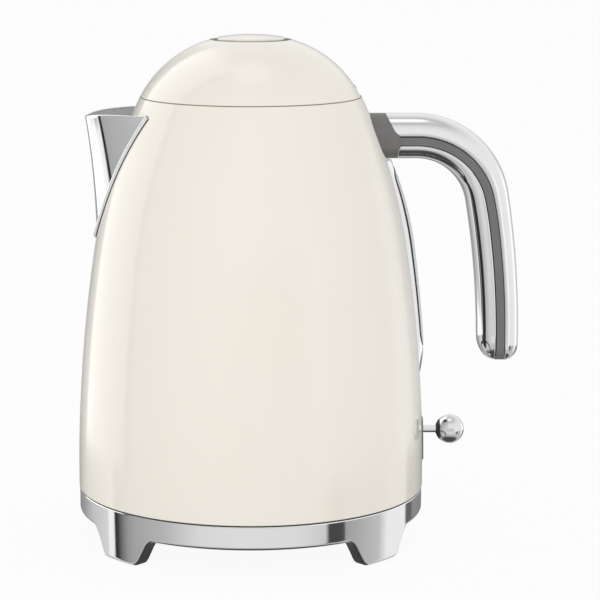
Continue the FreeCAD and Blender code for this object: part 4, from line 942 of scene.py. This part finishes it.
@dataclass
class Gauge(SubAssembly):
    """The water gauge: a rounded chrome bezel round a milky window in a black seal, in millimetres."""

    jug: JugProfile
    half: float = 8.0
    window_half: float = 5.8
    window_low: float = 94.5
    window_high: float = 187.5
    window_round: float = 9.0
    seal_width: float = 1.5
    seal_drop: float = 0.3      # how far the seal and the window are let in below the bezel's crown
    window_drop: float = 0.1
    recess: float = 1.3
    sunk: float = 0.8
    crown_power: float = 0.8    # how round the bezel is across: 1 is a parabola
    lip: float = 0.25
    # Heights, and how far the crown stands off the jug there; then the swell between each pair.
    heights: tuple[float, ...] = (81.5, 103.0, 149.2, 189.2)
    stands: tuple[float, ...] = (-0.2, 3.26, 4.1, 2.3)
    swells: tuple[float, ...] = (0.78, 0.0, 0.55)
    rows: int = 150

    def stand(self, height: float) -> float:
        """Gives how far the crown stands off the jug at a height.

        Args:
            height: the height above the table.

        Returns:
            The distance, which is below 0 where the crown is sunk.
        """
        for low, high, first, last, swell in zip(self.heights, self.heights[1:], self.stands, self.stands[1:],
                                                 self.swells):
            if height <= high:
                share = (height - low) / (high - low)
                return first + (last - first) * share + 4 * swell * share * (1 - share)
        return self.stands[-1]

    def surface(self, y: float, height: float, drop: float) -> Point:
        """Gives a point of the rounded outside, let in by a drop.

        Args:
            y: how far across from the middle line.
            height: the height above the table.
            drop: how far it is let in.

        Returns:
            The point.
        """
        share = 1 - min(abs(y) / self.half, 1.0) ** 2
        base = math.sqrt(self.jug.at(height) ** 2 - y ** 2)
        return base - self.sunk + (self.stand(height) + self.sunk) * share ** self.crown_power - drop, y, height

    def window_at(self, height: float) -> float:
        """Gives the half width of the window at a height, rounded at its ends.

        Args:
            height: the height above the table.

        Returns:
            The half width, or 0 past the ends.
        """
        near = min(height - self.window_low, self.window_high - height)
        if near <= 0:
            return 0.0
        near = min(near / self.window_round, 1.0)
        return self.window_half * math.sqrt(1 - (1 - near) ** 2)

    def bezel(self) -> Shell:
        """Makes the bezel, with a channel let in for the window.

        Returns:
            The points and the faces.
        """
        rows = []
        for z in spread(self.heights[0], self.heights[-1], self.rows):
            hole = self.window_at(z)
            across = [self.half - (self.half - hole - self.lip) * share for share in spread(0, 1, 12)]
            across += [hole + 0.08, hole, hole * 0.97, hole * 0.5]
            drops = [0.0] * 13 + ([0.12, self.recess, self.recess] if hole > 0 else [0.0] * 3)
            row = [self.surface(y, z, d) for y, d in zip(across, drops)]
            row += [self.surface(-y, z, d) for y, d in zip(across[::-1], drops[::-1])]
            base = math.sqrt(self.jug.at(z) ** 2 - self.half ** 2) - 2 * self.sunk
            rows.append(row + [(base, -self.half, z), (base, self.half, z)])
        return skin(rows, loop=True, caps=True)

    def window(self, inset: float, drop: float) -> Shell:
        """Makes a crowned sheet that lies in the channel.

        Args:
            inset: how far its edge is from the channel's.
            drop: how far it is let in below the bezel.

        Returns:
            The points and the faces.
        """
        rows = []
        share = 1 - inset / self.window_half
        middle = (self.window_low + self.window_high) / 2
        for z in spread(self.window_low + 0.3, self.window_high - 0.3, 90):
            wide = max(self.window_at(z) - 0.2, 0.05) * share
            level = middle + (z - middle) * (1 - 2 * inset / (self.window_high - self.window_low))
            row = [self.surface(y, level, drop) for y in spread(wide, -wide, 17)]
            row += [self.surface(y, level, self.recess - 0.15) for y in spread(-wide, wide, 5)]
            rows.append(row)
        return skin(rows, loop=True, caps=True)

    def build(self, shop: Paintshop) -> None:
        """Makes the bezel, the seal and the window and dresses them.

        Args:
            shop: makes the pieces and holds the finishes.
        """
        for name, shell, slot, finish, node in (
                ("gauge_bezel_plated", self.bezel(), "chrome_plate", CHROME, "gauge_frame"),
                ("gauge_seal_edge", self.window(0.0, self.seal_drop), "black_rubber", RUBBER, "gauge_seal"),
                ("gauge_window_milky", self.window(self.seal_width, self.window_drop), "clear_plastic",
                 MILKY_ACRYLIC, "gauge_lens")):
            shop.make(name, shell, "kettle", finish, [node]).visible_glossy = False


@dataclass
class LeverPlate(SubAssembly):
    """The thin grey plate on the jug, with the slot that the lever moves in, in millimetres."""

    jug: JugProfile
    half: float = 6.0
    low: float = 38.1
    high: float = 59.4
    slot_half: float = 2.5
    slot_low: float = 43.9
    slot_high: float = 56.0
    stand: float = 0.62
    sunk: float = 0.4
    ease: float = 0.3
    square: float = 5.0         # how square the corners are: 2 is an ellipse

    def loop(self, half: float, low: float, high: float, stand: float) -> list[Point]:
        """Gives a rounded outline on the jug, standing off it.

        Args:
            half: half the outline's width.
            low: its lowest height.
            high: its greatest height.
            stand: how far it stands off the jug.

        Returns:
            The points.
        """
        points = []
        for way in circle(96):
            y, rise = (math.copysign(abs(part) ** (2 / self.square), part) for part in way)
            z = (low + high) / 2 + rise * (high - low) / 2
            points.append((math.sqrt(self.jug.at(z) ** 2 - (y * half) ** 2) + stand, y * half, z))
        return points

    def build(self, shop: Paintshop) -> None:
        """Makes the plate and dresses it.

        Args:
            shop: makes the pieces and holds the finishes.
        """
        outer = (self.half, self.low, self.high)
        inner = (self.slot_half, self.slot_low, self.slot_high)
        eased = (self.half - self.ease, self.low + self.ease, self.high - self.ease)
        rows = [self.loop(*sizes, stand) for sizes, stand in (
            (outer, -self.sunk), (outer, self.stand - self.ease), (eased, self.stand), (inner, self.stand),
            (inner, -self.sunk))]
        shop.make("lever_plate_moulded", skin(rows, loop=True, ring=True), "kettle", GREY_ABS,
                  ["lever_plate"])


@dataclass
class Knob(SubAssembly):
    """The black cap where the lever's arm enters its ball, in millimetres."""

    ball: bpy.types.Object      # the ball's CAD node
    bore: float = 16.0          # degrees from the arm's middle to the cap's inner edge
    reach: float = 45.0         # and to its outer edge
    proud: float = 0.06
    thick: float = 0.5

    def build(self, shop: Paintshop) -> None:
        """Makes the cap and dresses it and the ball.

        Args:
            shop: makes the pieces and holds the finishes.
        """
        low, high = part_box("lever_knob")
        middle = [(a + b) / 2 / MM for a, b in zip(low, high)]
        radius = (high[2] - low[2]) / 2 / MM
        middle[0] = (high[0] - AXIS_X) / MM - radius
        rows = []
        outside = [(radius + self.proud, angle) for angle in spread(self.bore, self.reach, 10)]
        inside = [(radius - self.thick, angle) for angle in spread(self.reach, self.bore, 10)]
        for size, angle in outside + inside:
            out, side = size * math.cos(math.radians(angle)), size * math.sin(math.radians(angle))
            rows.append([(middle[0] - out, middle[1] + side * cos, middle[2] + side * sin)
                         for cos, sin in circle(48)])
        shop.make("knob_cap_moulded", skin(rows, loop=True, ring=True), "lever", BLACK_NYLON)
        shop.coat(self.ball, BALL_CHROME)


@dataclass
class Handle(SubAssembly):
    """The cantilever grip: two chrome halves on a grey core with its mount, in millimetres."""

    jug: JugProfile
    height: float = 201.15
    root: float = 57.0
    bend_x: float = 81.25
    bend: float = 35.8
    lean: float = 9.7           # degrees
    sweep: float = 434.0
    end: float = 89.7
    half: float = 12.0
    half_end: float = 11.6
    crown: float = 11.1
    crown_end: float = 10.4
    corner: float = 8.8
    crown_sweep: float = 17.0
    strip_drop: float = 1.8     # how far the core lies inside the middle line along the bar
    strip_rise: float = 0.85    # and outside it at the lower end
    strip_run: float = 1.3      # how many times the bend's length it takes to cross over
    # The shoulder on which the outer and the inner half begin: its x, its slant and its inner rounding.
    outer_shoulder: Point = (71.4, 5.2, 3.2)
    inner_shoulder: Point = (72.3, 0.3, 2.4)
    mount_sunk: float = 1.2
    flat: float = 2.5
    edge_round: float = 0.55
    edge_steps: int = 5
    end_round: float = 7.2
    inner_run: float = 12.5     # the longer rounding at the inner half's end
    inner_depth: float = 8.2
    core: float = 2.4
    core_inset: float = 0.45
    core_edge: float = 0.5
    core_from: float = 70.0
    gap_shade_from: float = 74.5     # the x past which the core's bevels get painted shade
    gap_shade_end: float = 3.0       # and how far above the end it stops
    gap: float = 0.15
    line_turn: float = 43.5     # where on the inner half's corner its black line lies, in degrees
    line_half: float = 5.2      # degrees to each side
    line_start: float = 0.3     # share of the bend
    line_grow: float = 32.0     # how far it runs until it is at its full width
    line_end: float = 6.4
    line_tips: Pair = (0.15, 0.3)   # its width at its two ends, as a share
    line_proud: float = 0.05
    line_deep: float = 0.4

    def __post_init__(self) -> None:
        """Works out the lengths of the grip's three runs."""
        turn = math.radians(self.lean)
        self.grip_x = self.bend_x - (self.sweep - self.bend) * math.cos(turn)
        self.grip_z = self.height - self.bend - (self.sweep - self.bend) * math.sin(turn)
        self.last = math.asin((self.end - self.grip_z) / self.sweep)
        self.straight = self.bend_x - self.root
        self.bent = self.bend * (math.pi / 2 - turn)
        self.length = self.straight + self.bent + self.sweep * (turn - self.last)

    def along(self, distance: float) -> tuple[float, float, float, float]:
        """Gives the place and the outward way of the grip's middle line.

        Args:
            distance: how far along the line from its root.

        Returns:
            x, z and the x and z of the outward way.
        """
        if distance <= self.straight:
            return self.root + distance, self.height, 0.0, 1.0
        distance -= self.straight
        if distance <= self.bent:
            angle, radius = math.pi / 2 - distance / self.bend, self.bend
            middle = (self.bend_x, self.height - self.bend)
        else:
            angle, radius = math.radians(self.lean) - (distance - self.bent) / self.sweep, self.sweep
            middle = (self.grip_x, self.grip_z)
        way = (math.cos(angle), math.sin(angle))
        return middle[0] + radius * way[0], middle[1] + radius * way[1], *way

    def stations(self, run: float, depth: float) -> list[Pair]:
        """Gives the distances after the straight run, each with the end's drawing-in there.

        Args:
            run: how long the end's rounding is.
            depth: how far it draws in.

        Returns:
            Distances and insets.
        """
        places = [(d, 0.0) for d in spread(self.straight, self.length - run, 90)]
        for turn in spread(0, 90, 13)[1:]:
            angle = math.radians(turn)
            places.append((self.length - run * (1 - math.sin(angle)), depth * (1 - math.cos(angle))))
        return places

    def place(self, distance: float, y: float, v: float) -> Point:
        """Gives the point across and out from the middle line."""
        x, z, out_x, out_z = self.along(distance)
        return x + out_x * v, y, z + out_z * v

    def corner_middle(self) -> Pair:
        """Gives the middle of a half's corner rounding, across and out.

        Returns:
            The two distances from the middle line.
        """
        across = self.half - self.corner
        rise = math.sqrt((self.crown_sweep - self.corner) ** 2 - across ** 2)
        return across, rise + (self.crown - self.crown_sweep)

    def half_section(self) -> list[Pair]:
        """Gives the outline of one half, from its flat over the crown to its flat.

        Returns:
            Points across and out from the middle line.
        """
        corner_y, corner_v = self.corner_middle()
        middle = self.crown - self.crown_sweep
        touch = math.degrees(math.atan2(corner_v - middle, corner_y))
        small = self.edge_round
        begin = math.asin(max(self.flat + small - corner_v, 0.0) / self.corner)
        edge = (corner_y + self.corner * math.cos(begin) - small, self.flat + small)
        right = arc(edge, small, -90, 0, self.edge_steps)
        right += arc((corner_y, corner_v), self.corner, math.degrees(begin), touch, 12)[1:]
        right += arc((0.0, middle), self.crown_sweep, touch, 90, 10)[1:]
        return right + [(-y, v) for y, v in right[-2::-1]]

    def strip_at(self, distance: float) -> float:
        """Gives how far out from the middle line the core lies at a distance.

        Args:
            distance: how far along the grip.

        Returns:
            The distance, which is below 0 inside the middle line.
        """
        share = min(max((distance - self.straight) / (self.strip_run * self.bent), 0.0), 1.0)
        share = share * share * (3 - 2 * share)
        return -self.strip_drop + (self.strip_rise + self.strip_drop) * share

    def taper(self, distance: float, inset: float) -> Pair:
        """Gives the half width and the crown at a distance, drawn in by an inset.

        Args:
            distance: how far along the grip.
            inset: how far both are drawn in.

        Returns:
            The half width and the crown.
        """
        share = min(max((distance - self.straight) / (self.length - self.straight), 0.0), 1.0)
        return (self.half + (self.half_end - self.half) * share - inset,
                self.crown + (self.crown_end - self.crown) * share - inset)

    def start(self, v: float, sign: int) -> float:
        """Gives where a half begins on the mount's shoulder.

        Args:
            v: the height above the middle line.
            sign: 1 for the outer half, -1 for the inner.

        Returns:
            The distance along the grip.
        """
        shoulder, slant, rounding = self.outer_shoulder if sign > 0 else self.inner_shoulder
        rise = v - self.core
        near = min(max(1 - rise / rounding, 0.0), 1.0)
        run_on = rounding * (1 - math.sqrt(1 - near ** 2))
        return shoulder - rise * slant / (self.crown - self.core) + run_on - self.root

    def shell(self, sign: int) -> Shell:
        """Sweeps one chrome half along the grip.

        Args:
            sign: 1 for the outer half, -1 for the inner.

        Returns:
            The points and the faces.
        """
        section = self.half_section()
        rows = []
        for share in spread(0, 1, 8)[:-1]:
            row = []
            for y, v in section:
                first = self.start(v, sign) + self.gap
                distance = first + (self.straight - first) * share
                row.append(self.place(distance, y, self.risen(distance, v, sign, self.crown)))
            rows.append(row)
        ending = (self.end_round, self.end_round) if sign > 0 else (self.inner_run, self.inner_depth)
        for distance, inset in self.stations(*ending):
            wide, high = self.taper(distance, inset)
            rows.append([self.place(distance, y * wide / self.half, self.risen(distance, v, sign, high))
                         for y, v in section])
        return skin(rows, loop=True, caps=True)

    def risen(self, distance: float, v: float, sign: int, high: float) -> float:
        """Fits a half's outline between the core and the crown.

        Args:
            distance: how far along the grip.
            v: the outline's height above the middle line.
            sign: 1 for the outer half, -1 for the inner.
            high: the crown there.

        Returns:
            The height out from the middle line, with its sign.
        """
        flat = self.flat + sign * self.strip_at(distance)
        return sign * (flat + (v - self.flat) * (high - flat) / (self.crown - self.flat))

    def core_strip(self) -> Shell:
        """Sweeps the grey core that shows between the halves.

        Returns:
            The points and the faces.
        """
        rows = []
        high, low = self.core, self.core - self.core_edge
        for distance, inset in [(self.core_from - self.root, 0.0)] + self.stations(self.end_round, self.end_round):
            wide = self.taper(distance, inset)[0] - self.core_inset
            narrow = wide - self.core_edge
            section = [(narrow, -high), (wide, -low), (wide, low), (narrow, high),
                       (-narrow, high), (-wide, low), (-wide, -low), (-narrow, -high)]
            rows.append([self.place(distance, y, v + self.strip_at(distance)) for y, v in section])
        return skin(rows, loop=True, caps=True)

    def is_painted_gap_shade(self, middle: Point, facing: Point) -> bool:
        """Tells whether a face of the core is one of its bevels, painted dark as the shade in the gap beside each
        half.

        Args:
            middle: the face's middle, in millimetres.
            facing: the way that it looks.

        Returns:
            True for a bevel past the mount and above the rounded end.
        """
        slant = abs(abs(facing[1]) - math.sqrt(0.5))
        return slant < 0.1 and middle[0] > self.gap_shade_from and middle[2] > self.end + self.gap_shade_end

    def lay_painted_reflection(self, side: int) -> Shell:
        """Lays the black line of painted reflection along one cheek of the inner half.

        Args:
            side: 1 or -1, the cheek's side across.

        Returns:
            The points and the faces.
        """
        middle = self.corner_middle()
        first, last = self.straight + self.line_start * self.bent, self.length - self.line_end
        rows = []
        for distance in spread(first, last, 80):
            into = max(1 - (self.length - distance) / self.inner_run, 0.0)
            wide, high = self.taper(distance, self.inner_depth * (1 - math.sqrt(1 - into ** 2)))
            grown = min(self.line_tips[0] + (distance - first) / self.line_grow,
                        self.line_tips[1] + last - distance, 1.0)
            low, top = self.line_turn - self.line_half * grown, self.line_turn + self.line_half * grown
            section = arc(middle, self.corner + self.line_proud, low, top, 4)
            section += arc(middle, self.corner - self.line_deep, top, low, 4)
            rows.append([self.place(distance, side * y * wide / self.half, self.risen(distance, v, -1, high))
                         for y, v in section])
        return skin(rows, loop=True, caps=True)

    def mount(self) -> Shell:
        """Makes the grey mount between the jug and the halves.

        Returns:
            The points and the faces.
        """
        upper = self.half_section()[self.edge_steps:-self.edge_steps]
        outline = [(y, v, 1) for y, v in upper] + [(-y, v, -1) for y, v in upper]
        rows = []
        for share in spread(0, 1, 9):
            row = []
            for y, v, sign in outline:
                z = self.height + self.risen(0.0, v, sign, self.crown)
                inside = math.sqrt((self.jug.at(z) - self.mount_sunk) ** 2 - y ** 2)
                row.append((inside + (self.start(v, sign) + self.root - inside) * share, y, z))
            rows.append(row)
        return skin(rows, loop=True, caps=True)

    def build(self, shop: Paintshop) -> None:
        """Makes the halves and the core and dresses them.

        Args:
            shop: makes the pieces and holds the finishes.
        """
        halves = [shop.make(name, self.shell(sign), "kettle", CHROME, [node])
                  for name, sign, node in (("grip_outer_half", 1, "handle_outer"),
                                           ("grip_inner_half", -1, "handle_inner"))]
        core = shop.make("grip_core", merged(self.core_strip(), self.mount()), "kettle", GREY_ABS,
                         ["handle_core"])
        # The core's bevels get black rubber as painted shade in the gap beside each half.
        shop.coat_faces(core, RUBBER, self.is_painted_gap_shade)
        # The black line along the inner half is a painted reflection.
        line = shop.make("grip_line_painted_reflection", merged(self.lay_painted_reflection(1), self.lay_painted_reflection(-1)), "kettle",
                         BLACK_PAINTED_REFLECTION)
        for piece in (*halves, core, line):
            piece.visible_glossy = False


@dataclass
class Studio:
    """White floor, soft lamps and the walls that the chrome mirrors."""

    floor_radius: float = 9.0
    white: str = "#FDFDFD"
    fill: str = "#F2F2F2"       # the even light on matt faces
    glow: float = 0.96          # share of the floor's own white, the rest takes the shadow
    camera_at: Point = (AXIS_X, -1.20395, 0.3334)
    pitch_down: float = 10.10   # degrees
    focal_px: float = 2457.0
    axis_px: float = 250.75     # where the jug's axis stands in the picture
    sensor: float = 36.0
    # Each soft lamp's name, place, aim, side in metres and watts.
    lamps: tuple[tuple[str, Point, Point, float, float], ...] = (
        ("front_softbox", (-0.4, -1.5, 0.5), (AXIS_X, 0, 0.08), 0.9, 3.0),
        ("top_softbox", (0.0, -0.1, 1.5), (AXIS_X, 0, 0.12), 1.0, 0.6))
    # Where the walls change, as degrees round from the camera's side to the handle, and their brightness:
    # at the height of the jug, and at the foot of the walls.
    walls: Bands = (
        (-180, 0.58), (-95, 0.86), (-48, 0.88), (-37, 0.70), (20, 0.70), (38, 0.82), (46, 1.2), (53, 1.05),
        (60, 0.96), (94, 0.98), (102, 1.0), (111, 1.1), (122, 1.3), (135, 1.1), (143, 0.66), (180, 0.52))
    foot: Bands = (
        (-180, 0.22), (-150, 0.36), (-132, 0.62), (-114, 0.76), (-111, 0.80), (-110, 1.05), (-104.3, 1.05),
        (-102.7, 0.02), (-99.5, 0.06), (-96, 0.19), (-90, 0.36), (-84, 0.44), (-60, 0.55), (-35, 0.82),
        (-10, 0.88), (30, 0.86), (51, 0.72), (53, 0.07), (64.5, 0.08), (66, 0.42), (95, 0.62), (104, 1.0),
        (126, 1.0), (128, 0.15), (136, 0.15), (140, 0.30), (180, 0.22))
    # The long lamp on the spout's side, as degrees from the way to the camera, and its brightness.
    strip: Bands = (
        (0, 0.80), (45, 0.72), (62, 0.56), (76, 0.52), (87.3, 0.47), (88.2, 0.02), (91.9, 0.02), (93, 1.0),
        (117, 1.5), (140, 1.75), (142.5, 0.5), (155, 0.4), (168, 0.1), (180, 0.1))
    # The ceiling, as the upward share of a ray, and its brightness.
    ceiling: Bands = ((0.0, 1.0), (0.6, 0.97), (0.8, 0.86), (0.92, 0.62), (0.97, 0.75), (0.985, 1.25),
                      (1.0, 1.25))
    # The parts of a ray, upward or to the handle's side, over which the walls go over into each other.
    to_ceiling: Pair = (0.10, 0.32)
    to_strip: Pair = (-0.12, -0.36)
    to_foot: Pair = (-0.20, -0.23)
    to_ground: Pair = (-0.42, -0.6)
    to_deep: Pair = (-0.72, -0.88)
    ground: str = "#CFCFCF"
    deep: str = "#505050"       # straight below
    floor_paint: str = "#FAFAFA"

    def build(self) -> None:
        """Sets the floor, the world, the lamps and the camera."""
        self.lay_floor()
        self.paint_walls()
        self.hang_lamps()
        self.place_camera()
        bpy.context.scene.view_settings.view_transform = "Standard"

    def lay_floor(self) -> None:
        """Lays the plain pale floor."""
        bpy.ops.mesh.primitive_circle_add(vertices=96, radius=self.floor_radius, fill_type="NGON",
                                          location=(AXIS_X, 0, 0))
        floor = bpy.context.object
        floor.name = "floor"
        floor.visible_glossy = False
        material = bpy.data.materials.new("floor_white_painted")
        material.use_nodes = True
        tree = material.node_tree
        tree.nodes.clear()
        path = add_node(tree, "ShaderNodeLightPath")
        share = add_node(tree, "ShaderNodeMath", {"operation": "MULTIPLY"},
                         {0: path.outputs["Is Camera Ray"], 1: self.glow})
        paint = add_node(tree, "ShaderNodeBsdfDiffuse", None, {"Color": linear(self.floor_paint)})
        bright = add_node(tree, "ShaderNodeEmission", None, {"Color": linear(self.white)})
        mixed = add_node(tree, "ShaderNodeMixShader", None,
                         {0: share.outputs[0], 1: paint.outputs[0], 2: bright.outputs[0]})
        add_node(tree, "ShaderNodeOutputMaterial", None, {"Surface": mixed.outputs[0]})
        floor.data.materials.append(material)

    def paint_walls(self) -> None:
        """Makes the world: white to the eye, even to matt faces, banded walls to mirrors."""
        world = bpy.data.worlds.new("studio")
        bpy.context.scene.world = world
        world.use_nodes = True
        tree = world.node_tree
        tree.nodes.clear()
        way = add_node(tree, "ShaderNodeTexCoord").outputs["Generated"]
        x, y, z = add_node(tree, "ShaderNodeSeparateXYZ", None, {0: way}).outputs
        towards = add_node(tree, "ShaderNodeMath", {"operation": "MULTIPLY"}, {0: y, 1: -1.0}).outputs[0]
        turn = add_node(tree, "ShaderNodeMath", {"operation": "ARCTAN2"}, {0: x, 1: towards}).outputs[0]
        apart = add_node(tree, "ShaderNodeMath", {"operation": "ARCCOSINE"}, {0: towards}).outputs[0]
        walls = self.banded(tree, turn, self.walls, (-math.pi, math.pi), (-180, 180))
        high = self.blend(tree, z, self.to_ceiling, walls, self.banded(tree, z, self.ceiling, (0, 1), (0, 1)))
        lamp = self.banded(tree, apart, self.strip, (0, math.pi), (0, 180))
        high = self.blend(tree, x, self.to_strip, high, lamp)
        foot = self.banded(tree, turn, self.foot, (-math.pi, math.pi), (-180, 180))
        low = self.blend(tree, z, self.to_foot, high, foot)
        ground = self.blend(tree, z, self.to_ground, low, linear(self.ground))
        walls = self.blend(tree, z, self.to_deep, ground, linear(self.deep))
        path = add_node(tree, "ShaderNodeLightPath").outputs
        even = add_node(tree, "ShaderNodeMix", {"data_type": "RGBA"},
                        {0: path["Is Glossy Ray"], 6: linear(self.fill), 7: walls})
        seen = add_node(tree, "ShaderNodeMath", {"operation": "MAXIMUM"},
                        {0: path["Is Camera Ray"], 1: path["Is Transmission Ray"]})
        shown = add_node(tree, "ShaderNodeMix", {"data_type": "RGBA"},
                         {0: seen.outputs[0], 6: even.outputs[2], 7: linear(self.white)})
        light = add_node(tree, "ShaderNodeBackground", None, {"Color": shown.outputs[2], "Strength": 1.0})
        add_node(tree, "ShaderNodeOutputWorld", None, {"Surface": light.outputs[0]})

    @staticmethod
    def banded(tree: bpy.types.NodeTree, value: bpy.types.NodeSocket, bands: Bands, span: Pair,
               scale: Pair) -> bpy.types.NodeSocket:
        """Gives the brightness of a wall by bands.

        Args:
            tree: the world's nodes.
            value: what the bands go by.
            bands: where the brightness changes, and to what.
            span: the value's least and greatest.
            scale: the same two on the bands' own scale.

        Returns:
            The socket with the wall's colour.
        """
        share = add_node(tree, "ShaderNodeMapRange", None,
                         {"Value": value, "From Min": span[0], "From Max": span[1]})
        ramp = add_node(tree, "ShaderNodeValToRGB", None, {0: share.outputs[0]})
        stops = ramp.color_ramp.elements
        while len(stops) > 1:
            stops.remove(stops[0])
        for index, (place, level) in enumerate(bands):
            at = (place - scale[0]) / (scale[1] - scale[0])
            stop = stops[0] if index == 0 else stops.new(at)
            stop.position = at
            stop.color = (level / 2, level / 2, level / 2, 1)
        doubled = add_node(tree, "ShaderNodeVectorMath", {"operation": "SCALE"},
                           {0: ramp.outputs[0], "Scale": 2.0})
        return doubled.outputs[0]

    @staticmethod
    def blend(tree: bpy.types.NodeTree, value: bpy.types.NodeSocket, span: Pair,
              first: bpy.types.NodeSocket, second: Any) -> bpy.types.NodeSocket:
        """Goes softly from one colour to another as a value crosses a span.

        Args:
            tree: the world's nodes.
            value: what the change goes by.
            span: where it starts and ends.
            first: the colour before it.
            second: the colour after it, as a socket or a value.

        Returns:
            The socket with the colour.
        """
        share = add_node(tree, "ShaderNodeMapRange", {"interpolation_type": "SMOOTHSTEP"},
                         {"Value": value, "From Min": span[0], "From Max": span[1]})
        return add_node(tree, "ShaderNodeMix", {"data_type": "RGBA"},
                        {0: share.outputs[0], 6: first, 7: second}).outputs[2]

    def hang_lamps(self) -> None:
        """Hangs the soft lamps, which the mirrors do not show."""
        for name, at, aim, side, watts in self.lamps:
            lamp = bpy.data.lights.new(name, "AREA")
            lamp.size = side
            lamp.energy = watts
            holder = bpy.data.objects.new(name, lamp)
            bpy.context.collection.objects.link(holder)
            holder.location = at
            away = [a - b for a, b in zip(at, aim)]
            flat = math.hypot(away[0], away[1])
            holder.rotation_euler = (math.atan2(flat, away[2]), 0, math.atan2(away[0], -away[1]))
            holder.visible_glossy = False

    def place_camera(self) -> None:
        """Places the camera at the photograph's viewing angle."""
        view = bpy.data.cameras.new("camera")
        view.sensor_width = self.sensor
        view.lens = self.focal_px / IMAGE_SIDE * self.sensor
        view.shift_x = (IMAGE_SIDE / 2 - self.axis_px) / IMAGE_SIDE
        holder = bpy.data.objects.new("camera", view)
        bpy.context.collection.objects.link(holder)
        holder.location = self.camera_at
        holder.rotation_euler = (math.radians(90 - self.pitch_down), 0, 0)
        bpy.context.scene.camera = holder


def main() -> None:
    """Builds the kettle's looks round the packed frame."""
    logging.basicConfig(level=logging.INFO, format="%(name)s: %(message)s")
    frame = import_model()
    shop = Paintshop()
    shop.dress_nodes(frame)
    shop.coat(frame["nodes"]["body_shell"], JUG_ENAMEL)
    for name, node in frame["nodes"].items():
        node.visible_glossy = name in MIRRORED
    jug = JugProfile()
    for assembly in (BaseRing(), Spout(jug), LidSeam(), Spring("button_spring", "button_press", 2, False, 5.0, 0.5),
                     Spring("latch_spring", "latch_slide", 0, True, 7.0, 0.28), Gauge(jug), LeverPlate(jug),
                     Knob(frame["nodes"]["lever_knob"]), Handle(jug)):
        assembly.build(shop)
    Studio().build()


if __name__ == "__main__":
    main()
